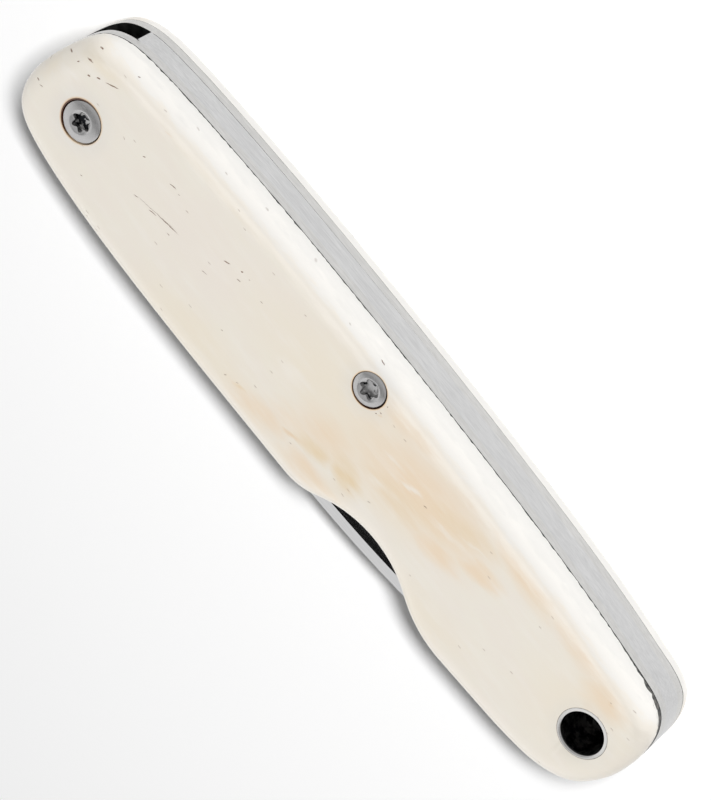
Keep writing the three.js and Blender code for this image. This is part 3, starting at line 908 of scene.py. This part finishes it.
# Bone colours
BONE_PALE = (0.775, 0.732, 0.648, 1)
BONE_ROSE = (0.77, 0.71, 0.64, 1)
BONE_CREAM = (0.775, 0.705, 0.585, 1)
BONE_CHALK = (0.82, 0.785, 0.73, 1)
BONE_PEACH = (0.77, 0.62, 0.455, 1)
BONE_TAN = (0.72, 0.57, 0.365, 1)
BONE_AMBER = (0.68, 0.44, 0.20, 1)
BONE_SHADE = (0.60, 0.605, 0.60, 1)
# Painted highlight: paler bone colours along the spine's rounding, standing in for the light it catches
BONE_HIGHLIGHT_SHOULDER = (0.885, 0.835, 0.755, 1)
BONE_HIGHLIGHT_CROWN = (0.865, 0.845, 0.81, 1)
BONE_PAINTED_HIGHLIGHT = (0.80, 0.785, 0.755, 1)
PORE_BROWN = (0.15, 0.06, 0.024, 1)
SINGED_BROWN = (0.16, 0.085, 0.04, 1)
# Near black: partly charred bone, partly painted shadow in the gaps round the screw heads
CHAR_AND_SHADOW_BROWN = (0.07, 0.022, 0.008, 1)

# Pores seen on the front scale: middle x and y, half length, half width, turn in degrees
FRONT_PORES = (
    (-6.4, 4.7, 0.28, 0.084, 16), (-4.9, 5.0, 0.20, 0.064, 44), (-2.9, 4.9, 0.20, 0.087, 34),
    (-2.0, 5.7, 0.30, 0.090, 33), (-0.3, 6.5, 0.92, 0.071, 29), (-4.0, 6.4, 0.48, 0.095, 12),
    (-4.1, 8.3, 0.25, 0.066, 20), (1.1, 9.8, 0.16, 0.045, 38), (-6.8, -1.0, 0.22, 0.083, 8),
    (-6.0, -1.1, 0.25, 0.034, 25), (-7.7, 1.5, 0.20, 0.03, 5), (4.6, 3.2, 0.20, 0.025, -24),
    (4.1, -4.7, 0.15, 0.032, 20), (7.6, 3.7, 0.25, 0.047, 35), (7.4, -7.4, 0.32, 0.022, 4),
    (12.2, 4.2, 0.50, 0.052, 12), (13.3, 4.1, 0.16, 0.026, 30), (10.0, -0.6, 0.34, 0.036, 15),
    (12.6, -0.3, 0.58, 0.056, 14), (14.7, 0.3, 1.68, 0.048, 9), (12.9, 0.05, 3.0, 0.016, 11),
    (15.5, -0.5, 0.20, 0.038, 10), (21.3, 0.0, 0.44, 0.024, 10), (22.2, 3.3, 0.46, 0.062, 24),
    (24.1, 4.1, 0.17, 0.076, 40), (24.5, 3.0, 0.28, 0.044, 13), (25.3, 4.2, 0.13, 0.028, 30),
    (27.2, -3.2, 0.17, 0.027, 24), (28.0, 3.5, 0.19, 0.03, 10), (31.0, -6.8, 0.18, 0.03, 30),
    (32.6, -6.2, 0.14, 0.024, 20), (41.4, -5.8, 0.18, 0.024, 12), (41.6, 10.8, 0.38, 0.05, -6),
    (45.2, 6.0, 0.12, 0.055, 30), (45.5, 6.5, 0.12, 0.05, 10), (45.5, 7.75, 0.08, 0.05, 0),
    (51.9, -2.5, 0.26, 0.026, 20), (56.3, 3.1, 0.26, 0.032, 8), (85.2, 5.7, 0.12, 0.03, 20),
)
# Stains seen on the front scale, by colour: middle x and y, half length, half width, turn in degrees,
# softness, strength
FRONT_STAINS = (
    (BONE_ROSE, ((19.0, 2.0, 15.0, 7.0, 0, 1.0, 0.75), (31.0, 6.5, 7.0, 3.0, 0, 1.0, 0.6))),
    (BONE_CREAM, ((40.0, 3.5, 20.0, 9.0, 3, 1.0, 0.9), (26.0, -6.5, 15.0, 5.0, 4, 1.0, 0.9),
                  (-1.5, 8.0, 5.5, 2.4, 18, 0.9, 0.95), (18.0, 9.6, 18.0, 1.9, 2, 0.9, 0.8),
                  (64.0, -7.0, 14.0, 4.0, 10, 1.0, 0.7), (-7.0, 1.5, 1.6, 4.0, 0, 1.0, 0.6),
                  (84.0, 1.0, 11.0, 9.0, 0, 1.0, 0.8))),
    (BONE_PEACH, ((50.0, 8.6, 13.0, 3.4, 3, 1.0, 0.75), (40.0, -3.6, 6.0, 2.6, 8, 1.0, 0.6),
                  (55.0, 3.6, 15.5, 8.0, 7, 0.95, 0.95), (60.5, 0.2, 5.5, 2.3, 14, 0.9, 0.9),
                  (65.0, 3.0, 5.0, 2.1, 14, 0.85, 0.9), (69.0, 8.2, 10.0, 3.4, -6, 0.8, 0.9),
                  (79.0, 8.4, 10.0, 3.8, -4, 0.8, 0.95), (84.6, 5.2, 4.6, 3.6, -20, 0.9, 0.8),
                  (43.5, -1.0, 7.0, 4.0, 10, 1.0, 0.8), (36.5, -6.4, 7.5, 2.6, 8, 1.0, 0.8),
                  (45.0, -6.6, 6.5, 2.4, 8, 1.0, 0.85))),
    (BONE_TAN, ((48.2, -2.8, 3.8, 2.5, -20, 0.9, 0.9), (43.8, -3.7, 4.0, 1.5, 16, 1.0, 0.8),
                (54.0, 0.6, 8.0, 2.8, 12, 1.0, 0.45), (61.0, 5.0, 7.5, 2.2, 12, 1.0, 0.45),
                (74.0, 9.3, 12.0, 1.8, -2, 1.0, 0.4), (32.4, -6.3, 1.2, 0.6, 20, 1.0, 0.6))),
    (BONE_AMBER, ((41.3, -5.0, 1.9, 0.65, 24, 1.0, 0.5), (3.5, 9.35, 1.1, 0.19, 8, 0.8, 0.75),
                  (45.3, 6.2, 0.7, 0.3, 60, 1.0, 0.4), (7.9, 8.6, 0.8, 0.25, 10, 1.0, 0.3),
                  (85.2, 5.7, 0.6, 0.3, 20, 1.0, 0.3))),
    (BONE_CHALK, ((54.0, 3.1, 2.0, 0.6, 14, 0.9, 0.6), (59.5, 3.0, 3.6, 0.32, 9, 1.0, 0.4),
                  (63.5, 4.6, 3.4, 0.28, 10, 1.0, 0.35), (58.7, 9.4, 2.2, 0.5, 5, 1.0, 0.4),
                  (36.0, 0.4, 3.5, 1.6, 8, 1.0, 0.5), (51.3, 0.0, 2.2, 0.6, 12, 1.0, 0.4),
                  (-4.5, 3.2, 2.2, 1.0, 20, 1.0, 0.6), (49.6, 3.9, 1.6, 0.5, 8, 1.0, 0.4))),
)
# Pores and stains of the rear scale, in the same way
REAR_PORES = (
    (14.0, 5.0, 0.9, 0.06, 6), (20.5, 2.2, 0.6, 0.05, 3), (31.0, 6.5, 0.4, 0.06, -8),
    (66.0, 3.5, 0.8, 0.05, 2), (70.5, -2.0, 0.5, 0.06, 6), (25.0, -3.0, 1.2, 0.04, 3),
    (5.0, 7.0, 0.4, 0.07, -10), (33.5, 5.6, 0.3, 0.05, 5), (52.0, -2.0, 0.9, 0.05, 4),
    (8.5, -5.0, 0.4, 0.05, 12), (57.5, 6.0, 1.4, 0.03, 2), (78.0, 6.5, 0.3, 0.06, 0),
)
REAR_STAINS = (
    (BONE_ROSE, ((60.0, 0.0, 18.0, 7.0, 3, 0.9, 0.7),)),
    (BONE_CREAM, ((25.0, -2.0, 14.0, 6.0, 4, 0.8, 0.9), (80.0, 4.0, 10.0, 6.0, 0, 0.8, 0.8),
                  (48.0, 7.0, 12.0, 3.0, -4, 0.9, 0.8))),
    (BONE_PEACH, ((27.0, -3.5, 9.0, 3.4, 6, 0.6, 0.95), (68.0, 4.0, 7.0, 2.6, 8, 0.5, 0.9),
                  (5.0, 6.5, 6.0, 2.6, 14, 0.7, 0.7))),
    (BONE_TAN, ((25.0, -5.5, 5.5, 1.8, 8, 0.8, 0.7), (69.0, 4.6, 4.5, 1.2, 8, 0.8, 0.6))),
    (BONE_CHALK, ((45.0, 1.0, 6.0, 1.6, 6, 0.9, 0.6), (29.0, -2.4, 4.0, 0.5, 8, 0.8, 0.6))),
)
# Burnt bone round the screw holes, the brown darkening on one side into painted shadow of the gap: middle x
# and y, radius, reach of the brown, reach of the amber, and where along X the brown begins to darken into
# painted shadow and is darkest, in radii from the middle
HOLE_BURNS_AND_SHADOWS = (
    (PIVOT_RECESS_SHIFT - 0.12, 0.05, pivot_screw_high.y + PIVOT_RECESS_FIT, 0.12, 0.34, 0.2, -0.8),
    (SCREW_X + SPRING_RECESS_SHIFT, SCREW_Y, spring_screw_high.y - SCREW_Y + SPRING_RECESS_FIT, 0.05, 0.22,
     -0.1, 0.6),
)
AMBER_SHARE = 0.7
# Rings of colour round a screw hole and round the tube: reach, share, colour
HOLE_SHADE = (2.4, 0.22, BONE_SHADE)
TUBE_RINGS = ((2.0, 0.18, BONE_SHADE), (0.06, 0.5, CHAR_AND_SHADOW_BROWN))
# Painted highlight along the spine's rounding, as paler bone: where it begins and is full, in millimetres
# from the spine, share, colour
SPINE_HIGHLIGHT_BANDS = (
    (-4.2, -2.1, 0.9, BONE_HIGHLIGHT_SHOULDER),
    (-2.3, -1.3, 0.95, BONE_HIGHLIGHT_CROWN),
    (-0.9, -0.2, 1.0, BONE_PAINTED_HIGHLIGHT),
)
# Fall of the spine's line with the square of the distance from its crown
SPINE_BOW = 0.0008
# How far noise moves stains, the painted highlight along the spine, pores, and the burns with their painted
# shadow about, in millimetres from side to side
STAIN_DRIFT = (5.0, 2.4, 0.0)
SPINE_HIGHLIGHT_DRIFT = (0.0, 2.2, 0.0)
PORE_DRIFT = (0.3, 0.22, 0.0)
BURN_AND_SHADOW_DRIFT = (0.05, 0.05, 0.0)
# Clouds per millimetre of the bone's long grain and of its mottling, along each axis
BONE_GRAIN = (0.13, 0.55, 0.55)
BONE_MOTTLE = (0.2, 0.4, 0.4)
# Strength of mottling and pores, how much longer and wider pores are than listed, and their edge and finish
MOTTLE_SHARE = 0.6
PORE_LONGER = 1.15
PORE_WIDER = 1.4
PORE_SOFTNESS = 0.5
PORE_SHARE = 0.9
STREWN_SHARE = 0.42
BONE_ROUGHNESS = (0.285, 0.34)
PORE_ROUGHNESS = 0.8
PORE_DEPTH = 0.04


def shifted_by(tree, place, noise_place, scale, detail, amount):
    """A place moved about by soft noise, by up to half the amount each way."""
    colours = cloud(tree, noise_place, scale, detail, CRISP_NOISE, "Color")
    wander = reckon_vector(tree, "SUBTRACT", colours, (0.5, 0.5, 0.5))
    return reckon_vector(tree, "ADD", place, reckon_vector(tree, "MULTIPLY", wander, amount))


def stained_colour(tree, colour, place, stains):
    """Bone colour under its stains, each a set of soft ovals."""
    for stain_colour, ovals in stains:
        stain = 0.0
        for x, y, half_length, half_width, turn, softness, strength in ovals:
            mask = placed(tree, OVAL_MARK, Place=place, X=x, Y=y, Half_Length=half_length,
                          Half_Width=half_width, Turn=math.radians(turn), Softness=softness)
            stain = reckon(tree, "MAXIMUM", stain, reckon(tree, "MULTIPLY", mask, strength))
        colour = mixed(tree, stain, colour, stain_colour)
    return colour


def pore_mask(tree, place, pores):
    """Brown pores: a few faint ones strewn about, and the placed ones, unevenly dark."""
    strewn = placed(tree, SCATTERED_PORES, Place=place, Cell_Length=1.9, Cell_Width=0.5, Share=0.02,
                    Size=0.17)
    pore = reckon(tree, "MULTIPLY", strewn, STREWN_SHARE)
    for x, y, half_length, half_width, turn in pores:
        mask = placed(tree, OVAL_MARK, Place=place, X=x, Y=y, Half_Length=PORE_LONGER * half_length,
                      Half_Width=PORE_WIDER * half_width, Turn=math.radians(turn), Softness=PORE_SOFTNESS)
        pore = reckon(tree, "MAXIMUM", pore, mask)
    breaks = fade(tree, cloud(tree, place, scale=2.6), start=0.35, end=0.6, first=0.7)
    return reckon(tree, "MULTIPLY", pore, breaks)


def ringed_colour(tree, colour, at_hole, rings):
    """Bone colour under soft rings round a hole, each with its reach, share and colour."""
    for reach, share, tint in rings:
        ring = placed(tree, ROUND_HOLE, Reach=reach, **at_hole)
        colour = mixed(tree, reckon(tree, "MULTIPLY", ring, share), colour, tint)
    return colour


def burnt_and_shadowed_colour(tree, colour, place):
    """Bone colour with the drill's brown and amber burns round its holes, the brown darkened on one side as
    painted shadow of the gap, and a cool shade round them.
    """
    from_pivot = measure(tree, place, "X")
    for x, y, radius, brown, amber, shadow_start, shadow_full in HOLE_BURNS_AND_SHADOWS:
        char_and_shadow = fade(tree, from_pivot, x + radius * shadow_start, x + radius * shadow_full)
        burn_and_shadow = mixed(tree, char_and_shadow, SINGED_BROWN, CHAR_AND_SHADOW_BROWN)
        colour = ringed_colour(tree, colour, {"Place": place, "X": x, "Y": y, "Radius": radius},
                               (HOLE_SHADE, (amber, AMBER_SHARE, BONE_AMBER), (brown, 1.0, burn_and_shadow)))
    at_tube = {"Place": place, "X": TUBE_X, "Y": 0.0, "Radius": tube_high.y + TUBE_FIT}
    return ringed_colour(tree, colour, at_tube, TUBE_RINGS)


def spine_highlight_colour(tree, colour, place):
    """Bone colour with a painted highlight along the spine's rounded edge, painted as paler bone."""
    off_crown = reckon(tree, "SUBTRACT", measure(tree, place, "X"), PIVOT_END + SPINE_CROWN)
    bow = reckon(tree, "MULTIPLY", reckon(tree, "MULTIPLY", off_crown, off_crown), SPINE_BOW)
    from_spine = reckon(tree, "ADD", reckon(tree, "SUBTRACT", measure(tree, place, "Y"), SPINE), bow)
    for start, end, share, tint in SPINE_HIGHLIGHT_BANDS:
        colour = mixed(tree, fade(tree, from_spine, start, end, 0.0, share), colour, tint)
    return colour


def bone(name, pores, stains, seed):
    """Polished bone: soft stains, pale lengthwise streaks, brown pores, a painted highlight along the
    spine's rounding, and burns round its holes darkened on one side into painted shadow.
    """
    material, tree, place = new_material(name, IOR=1.54, Coat_Weight=0.3, Coat_Roughness=0.07)
    seeded = reckon_vector(tree, "ADD", place, (seed, seed, 0))
    long_grain = reckon_vector(tree, "MULTIPLY", seeded, BONE_GRAIN)
    mottle = drawn_out(tree, cloud(tree, reckon_vector(tree, "MULTIPLY", seeded, BONE_MOTTLE), scale=1.0))
    colour = mixed(tree, reckon(tree, "MULTIPLY", mottle, MOTTLE_SHARE), BONE_PALE, BONE_ROSE)
    drifted = shifted_by(tree, place, long_grain, scale=1.0, detail=4.0, amount=STAIN_DRIFT)
    colour = stained_colour(tree, colour, drifted, stains)
    streaks = placed(tree, STREAKS, Place=seeded, Per_Millimetre=0.8, Length=6.0, Detail=2.0)
    colour = mixed(tree, fade(tree, streaks, start=0.45, end=0.85, last=0.35), colour, BONE_CHALK)
    fine = placed(tree, STREAKS, Place=seeded, Per_Millimetre=4.0, Length=2.5, Detail=3.0)
    colour = mixed(tree, fade(tree, fine, start=0.4, end=0.9, last=0.25), colour, BONE_CREAM)
    # Painted highlight along the spine, its inner border moved about by noise
    uneven = shifted_by(tree, place, long_grain, scale=2.0, detail=3.0, amount=SPINE_HIGHLIGHT_DRIFT)
    colour = spine_highlight_colour(tree, colour, uneven)
    ragged = shifted_by(tree, place, seeded, scale=1.6, detail=3.0, amount=PORE_DRIFT)
    pore = pore_mask(tree, ragged, pores)
    colour = mixed(tree, reckon(tree, "MULTIPLY", pore, PORE_SHARE), colour, PORE_BROWN)
    # Burns and their painted shadow, their edges moved about by noise
    wavering = shifted_by(tree, place, seeded, scale=2.5, detail=2.0, amount=BURN_AND_SHADOW_DRIFT)
    colour = burnt_and_shadowed_colour(tree, colour, wavering)
    rough = drawn_out(tree, cloud(tree, seeded, scale=0.5, detail=3.0), *BONE_ROUGHNESS)
    return finished(material, colour, mixed_value(tree, pore, rough, PORE_ROUGHNESS),
                    reckon(tree, "SUBTRACT", 1.0, pore), PORE_DEPTH)


# Tones and roughness of the gap's painted shade and of metals, first where a pattern is lowest and then
# where it is highest
# Near black in the open line between bone and steel: painted shade of that gap
GAP_SHADE_TONES = (0.012, 0.012, 0.014, 1), (0.16, 0.15, 0.14, 1)
GAP_ROUGHNESS = (0.35, 0.7)
LINER_TONES = (0.50, 0.495, 0.485, 1), (0.65, 0.645, 0.635, 1)
SPRING_TONES = (0.50, 0.50, 0.505, 1), (0.65, 0.65, 0.65, 1)
# Near black on the flat sides of liners and spring: painted shade between the plates and the bone
SIDE_SHADE_TONES = (0.05, 0.05, 0.05, 1), (0.012, 0.012, 0.012, 1)
GROUND_ROUGHNESS = (0.34, 0.44)
SIDE_FACE_ROUGHNESS = 0.42
BLASTED_TONES = (0.455, 0.45, 0.45, 1), (0.55, 0.545, 0.54, 1)
BLASTED_PATCH = (0.44, 0.44, 0.44, 1)
# Near black in the screws' recesses: part dirt, part painted shade
RECESS_DIRT_AND_SHADE = (0.02, 0.021, 0.024, 1)
BLASTED_ROUGHNESS = (0.30, 0.42)
# Painted shade down the tube's bore: near black with paler blotches
BORE_SHADE_TONES = (0.008, 0.008, 0.008, 1), (0.34, 0.33, 0.32, 1)
BORE_ROUGHNESS = 0.4
TURNED_TONES = (0.64, 0.635, 0.62, 1), (0.70, 0.69, 0.67, 1)
TURNED_ROUGHNESS = (0.285, 0.33)
SATIN_TONES = (0.62, 0.62, 0.62, 1), (0.68, 0.68, 0.68, 1)
SATIN_ROUGHNESS = (0.29, 0.36)
POLISHED_TONES = (0.56, 0.565, 0.57, 1), (0.66, 0.665, 0.67, 1)
POLISHED_ROUGHNESS = (0.05, 0.1)
BRONZE_TONES = (0.62, 0.38, 0.17, 1), (0.42, 0.24, 0.10, 1)
BRONZE_ROUGHNESS = (0.28, 0.45)
# Scratches of the belt: fine ones per millimetre, how much coarser and longer the others are, and shares
FINE_SCRATCHES = 9.0
COARSER = 3.5
LONGER = 2.5
FINE_SHARE = 0.7
COARSE_SHARE = 0.3
SLOW_SHARE = 0.25
SPOTTED_FROM = 0.35
# Dark dirt and painted shade in the screws' recesses: the height over the blade's middle plane that they
# stay under, and where noise lets them blotch
HOLLOW_TOP = 5.1
HOLLOW_FADE = 0.22
BLOTCH_FROM = 0.6
BLOTCH_FULL = 0.68
BLOTCH_SHIFT = 0.4
# The tube's bright mouth, down from its rim; below it the bore is painted dark as shade
BRIGHT_DOWN_TO = 0.45
BRIGHT_FULL_TO = 0.12


def gap_line(name):
    """Painted shade: near black colour in the open line between bone and steel, where the gap's shadow
    falls.
    """
    material, tree, place = new_material(name)
    grains = cloud(tree, place, scale=2.5, detail=3.0)
    return two_toned(material, grains, GAP_SHADE_TONES, GAP_ROUGHNESS, depth=0.05, start=SPOTTED_FROM)


def ground_steel(name, tones, scratch_length):
    """Steel ground with a belt along the knife: fine scratches, slow changes of tone, and sides painted near
    black as the shade between the plates.
    """
    material, tree, place = new_material(name, Metallic=1.0)
    fine = placed(tree, STREAKS, Place=place, Per_Millimetre=FINE_SCRATCHES, Length=scratch_length,
                  Detail=3.0)
    coarse = placed(tree, STREAKS, Place=place, Per_Millimetre=FINE_SCRATCHES / COARSER,
                    Length=scratch_length * LONGER, Detail=2.0)
    tone = reckon(tree, "ADD", reckon(tree, "MULTIPLY", fine, FINE_SHARE),
                  reckon(tree, "MULTIPLY", coarse, COARSE_SHARE))
    colour = mixed(tree, drawn_out(tree, tone), *tones)
    slow = drawn_out(tree, cloud(tree, place, scale=0.16), last=SLOW_SHARE)
    colour = mixed(tree, slow, colour, tones[0])
    # Flat sides painted near black as shade between the plates
    sides = placed(tree, SIDE_FACES)
    spots = cloud(tree, place, scale=0.8, detail=3.0)
    side_shade = mixed(tree, fade(tree, spots, SPOTTED_FROM, NOISE_HIGH), *SIDE_SHADE_TONES)
    rough = mixed_value(tree, sides, drawn_out(tree, tone, *GROUND_ROUGHNESS), SIDE_FACE_ROUGHNESS)
    return finished(material, mixed(tree, sides, colour, side_shade), rough, tone, depth=0.003)


def blasted_steel(name, dirt_and_shade, seed):
    """Bead-blasted screw steel: fine even grain, with a share of dark blotches in its hollows, part dirt and
    part painted shade.
    """
    material, tree, place = new_material(name, Metallic=1.0)
    grain = cloud(tree, place, scale=8.0, detail=3.0, roughness=0.7)
    patches = fade(tree, cloud(tree, place, scale=1.3, detail=3.0), start=0.4, end=0.7, last=0.3)
    colour = mixed(tree, drawn_out(tree, grain), *BLASTED_TONES)
    colour = mixed(tree, patches, colour, BLASTED_PATCH)
    # Dark blotches down in the recess: part dirt, part painted shade
    hollow = fade(tree, off_middle(tree, place), HOLLOW_TOP - HOLLOW_FADE, HOLLOW_TOP, 1.0, 0.0)
    lumps = cloud(tree, reckon_vector(tree, "ADD", place, seed), scale=1.3, detail=2.5)
    blotched = fade(tree, lumps, BLOTCH_FROM - dirt_and_shade * BLOTCH_SHIFT, BLOTCH_FULL - dirt_and_shade * BLOTCH_SHIFT)
    colour = mixed(tree, reckon(tree, "MULTIPLY", hollow, blotched), colour, RECESS_DIRT_AND_SHADE)
    return finished(material, colour, drawn_out(tree, grain, *BLASTED_ROUGHNESS), grain, depth=0.006)


def turned_steel(name):
    """Bright lathe-turned steel of the lanyard tube, with blotched painted shade down its bore."""
    material, tree, place = new_material(name, Metallic=1.0)
    # Painted shade inside the bore, below the bright mouth
    inside = fade(tree, off_middle(tree, place), tube_high.z - BRIGHT_DOWN_TO, tube_high.z - BRIGHT_FULL_TO,
                  1.0, 0.0)
    marks = cloud(tree, place, scale=0.9, detail=3.0, roughness=CRISP_NOISE)
    bore_shade = mixed(tree, fade(tree, marks, start=0.42, end=0.62), *BORE_SHADE_TONES)
    fine = cloud(tree, place, scale=6.0)
    bright = mixed(tree, drawn_out(tree, fine), *TURNED_TONES)
    rough = mixed_value(tree, inside, drawn_out(tree, fine, *TURNED_ROUGHNESS), BORE_ROUGHNESS)
    return finished(material, mixed(tree, inside, bright, bore_shade), rough, marks, depth=0.006)


def satin_blade_steel(name):
    """Satin of the blade's back strip and tang, with fine even grain."""
    material, tree, place = new_material(name, Metallic=1.0)
    grain = placed(tree, STREAKS, Place=place, Per_Millimetre=6.0, Length=3.0, Detail=2.0)
    return two_toned(material, grain, SATIN_TONES, SATIN_ROUGHNESS, depth=0.001)


def polished_blade_steel(name):
    """Mirror-bright hollow grind with faint lines from the wheel."""
    material, tree, place = new_material(name, Metallic=1.0)
    lines = placed(tree, STREAKS, Place=place, Per_Millimetre=8.0, Length=14.0, Detail=2.0)
    return two_toned(material, lines, POLISHED_TONES, POLISHED_ROUGHNESS, depth=0.001)


def bronze(name):
    """Phosphor bronze of the washers, with a dull turned face."""
    material, tree, place = new_material(name, Metallic=1.0)
    tarnish = cloud(tree, place, scale=1.2, detail=3.0)
    return two_toned(material, tarnish, BRONZE_TONES, BRONZE_ROUGHNESS, depth=0.01, start=SPOTTED_FROM)


# How much dark dirt and painted shade blotch the recesses of the pivot's and the spring's screws
PIVOT_RECESS_DIRT_AND_SHADE = 0.38
SPRING_RECESS_DIRT_AND_SHADE = 0.12


def dressed_knife():
    """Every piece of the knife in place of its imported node."""
    gap_shade_finish = gap_line("gap_shade")
    front_bone = bone("front_bone", FRONT_PORES, FRONT_STAINS, seed=0.0)
    rear_bone = bone("rear_bone", REAR_PORES, REAR_STAINS, seed=31.0)
    liner_steel = ground_steel("liner_steel", LINER_TONES, scratch_length=1.5)
    spring_steel = ground_steel("spring_steel", SPRING_TONES, scratch_length=1.7)
    pivot_steel = blasted_steel("pivot_screw_steel", PIVOT_RECESS_DIRT_AND_SHADE, seed=(0.0, 0.0, 0.0))
    screw_steel = blasted_steel("screw_steel", SPRING_RECESS_DIRT_AND_SHADE, seed=(0.5, 0.3, 0.0))
    washer_bronze = bronze("bronze")
    washer = squared_ring(WASHER_BORE, washer_high.y, washer_low.z, washer_high.z)
    pivot_head = pivot_screw_high.y
    spring_head = spring_screw_high.y - SCREW_Y
    pivot_recess = (PIVOT_RECESS_SHIFT, 0), pivot_head + PIVOT_RECESS_FIT
    spring_recess = (SCREW_X + SPRING_RECESS_SHIFT, SCREW_Y), spring_head + SPRING_RECESS_FIT
    for label, side, rise, finish in (("front", 1, FRONT_HEAD_PROUD, front_bone),
                                      ("rear", -1, -REAR_HEAD_SINK, rear_bone)):
        seat = scale_high.z + rise - HEAD_HEIGHT
        bone_scale(label, side, ((*pivot_recess, seat), (*spring_recess, seat)), finish, gap_shade_finish)
        steel_plate(f"{label}_liner_plate", f"{label}_liner", "liner_steel", HANDLE_EDGE,
                    liner_low.z, liner_high.z, side, liner_steel)
        screw(f"{label}_pivot_screw", (0, 0), pivot_head, seat + HEAD_GAP, side, PIVOT_SCREW_TURN,
              pivot_steel)
        screw(f"{label}_spring_screw", (SCREW_X, SCREW_Y), spring_head, seat + HEAD_GAP, side,
              SPRING_SCREW_TURN, screw_steel)
        turned_ring(f"{label}_bronze_washer", f"{label}_washer", "bronze", (0, 0), washer,
                    washer_bronze, side)
    steel_plate("slip_spring", "backspring", "spring_steel", spring_edge(), -liner_low.z,
                liner_low.z, 1, spring_steel, SPRING_SEAM)
    blade(satin_blade_steel("satin_blade_steel"), polished_blade_steel("polished_blade_steel"))
    lanyard_tube(turned_steel("tube_steel"))
    for label, centre, low, high in (("pivot", (0, 0), pivot_barrel_low, pivot_barrel_high),
                                     ("spring", (SCREW_X, SCREW_Y), spring_barrel_low, spring_barrel_high)):
        turned_ring(f"{label}_axle", f"{label}_barrel", "screw_steel", centre,
                    squared_ring(SHANK_BORE, high.y - centre[1], low.z, high.z), screw_steel)


dressed_knife()

# Studio: pale floor, soft boxes for the knife and for the paper under it, and a white tent, dark overhead
FLOOR_SIZE = 6.0
PAPER_WHITE = (0.95, 0.95, 0.95, 1)
TENT_WHITE = (1, 1, 1, 1)
BOX_DISTANCE = 0.75
# Soft boxes: direction from the knife, width and height, power, and what each lights
SOFT_BOXES = (
    ("high_box", (0.1, 0.52, 0.84), (0.25, 0.15), 4.5, "knife"),
    ("belly_box", (0.0, -0.97, 0.22), (0.6, 0.15), 3.6, "knife"),
    ("paper_box", (0.12, 0.68, 0.73), (0.22, 0.085), 6.6, "paper"),
)
# The tent's strength as light, as the camera sees it, and in the gloss toward the belly, overhead and spine
TENT_LIT = 0.23
TENT_SEEN = 0.9
SHEEN_BELLY = 1.1
SHEEN_DARK = 0.01
SHEEN_SPINE = 0.7
# Where the dark overhead lies, in degrees from straight up toward the spine, and half its soft border
DARK_FROM = -29.0
DARK_TO = -14.0
DARK_EDGE = 2.0


def pale_floor():
    """Plain pale floor under the knife, not seen from below."""
    blank = bmesh.new()
    half = FLOOR_SIZE / 2
    corners = ((-half, -half), (half, -half), (half, half), (-half, half))
    blank.faces.new([blank.verts.new((x, y, 0)) for x, y in corners])
    sheet = bpy.data.meshes.new("pale_floor")
    blank.to_mesh(sheet)
    blank.free()
    floor = bpy.data.objects.new("pale_floor", sheet)
    bpy.context.scene.collection.objects.link(floor)
    material = bpy.data.materials.new("pale_floor")
    tree = empty_tree(material)
    paper = add(tree, "BsdfDiffuse", {"Color": PAPER_WHITE})
    clear = add(tree, "BsdfTransparent")
    below = add(tree, "NewGeometry").outputs["Backfacing"]
    both = add(tree, "MixShader", {0: below, 1: paper.outputs[0], 2: clear.outputs[0]})
    tree.links.new(both.outputs[0], add(tree, "OutputMaterial").inputs["Surface"])
    sheet.materials.append(material)
    return floor


def soft_box(name, direction, size, power, lit, floor):
    """Soft light box that doesn't show in the gloss, and lights either the knife or the paper under it."""
    light = bpy.data.lights.new(name, "AREA")
    light.shape = "RECTANGLE"
    light.size, light.size_y = size
    light.energy = power
    box = bpy.data.objects.new(name, light)
    direction = Vector(direction).normalized()
    box.location = direction * BOX_DISTANCE
    box.rotation_euler = direction.to_track_quat("Z", "Y").to_euler()
    box.visible_glossy = False
    lights_only = bpy.data.collections.new(f"lit_by_{name}")
    lights_only.objects.link(floor)
    lights_only.collection_objects[0].light_linking.link_state = "INCLUDE" if lit == "paper" else "EXCLUDE"
    box.light_linking.receiver_collection = lights_only
    bpy.context.scene.collection.objects.link(box)


def white_tent():
    """Tent round the knife: even for the soft light, and black overhead in the gloss."""
    world = bpy.data.worlds.new("white_tent")
    bpy.context.scene.world = world
    tree = empty_tree(world)
    toward = add(tree, "TexCoord").outputs["Generated"]
    turn = reckon(tree, "ARCTAN2", measure(tree, toward, "Y"), measure(tree, toward, "Z"))
    lean = reckon(tree, "DEGREES", turn)
    before = fade(tree, lean, DARK_FROM - DARK_EDGE, DARK_FROM + DARK_EDGE, SHEEN_BELLY, SHEEN_DARK)
    after = fade(tree, lean, DARK_TO - DARK_EDGE, DARK_TO + DARK_EDGE)
    sheen = mixed_value(tree, after, before, SHEEN_SPINE)
    ray = add(tree, "LightPath").outputs
    strength = mixed_value(tree, ray["Is Glossy Ray"], TENT_LIT, sheen)
    strength = mixed_value(tree, ray["Is Camera Ray"], strength, TENT_SEEN)
    light = add(tree, "Background", {"Color": TENT_WHITE, "Strength": strength})
    tree.links.new(light.outputs[0], add(tree, "OutputWorld").inputs["Surface"])


paper_floor = pale_floor()
for soft_box_settings in SOFT_BOXES:
    soft_box(*soft_box_settings, paper_floor)
white_tent()
bpy.context.scene.view_settings.view_transform = "Standard"
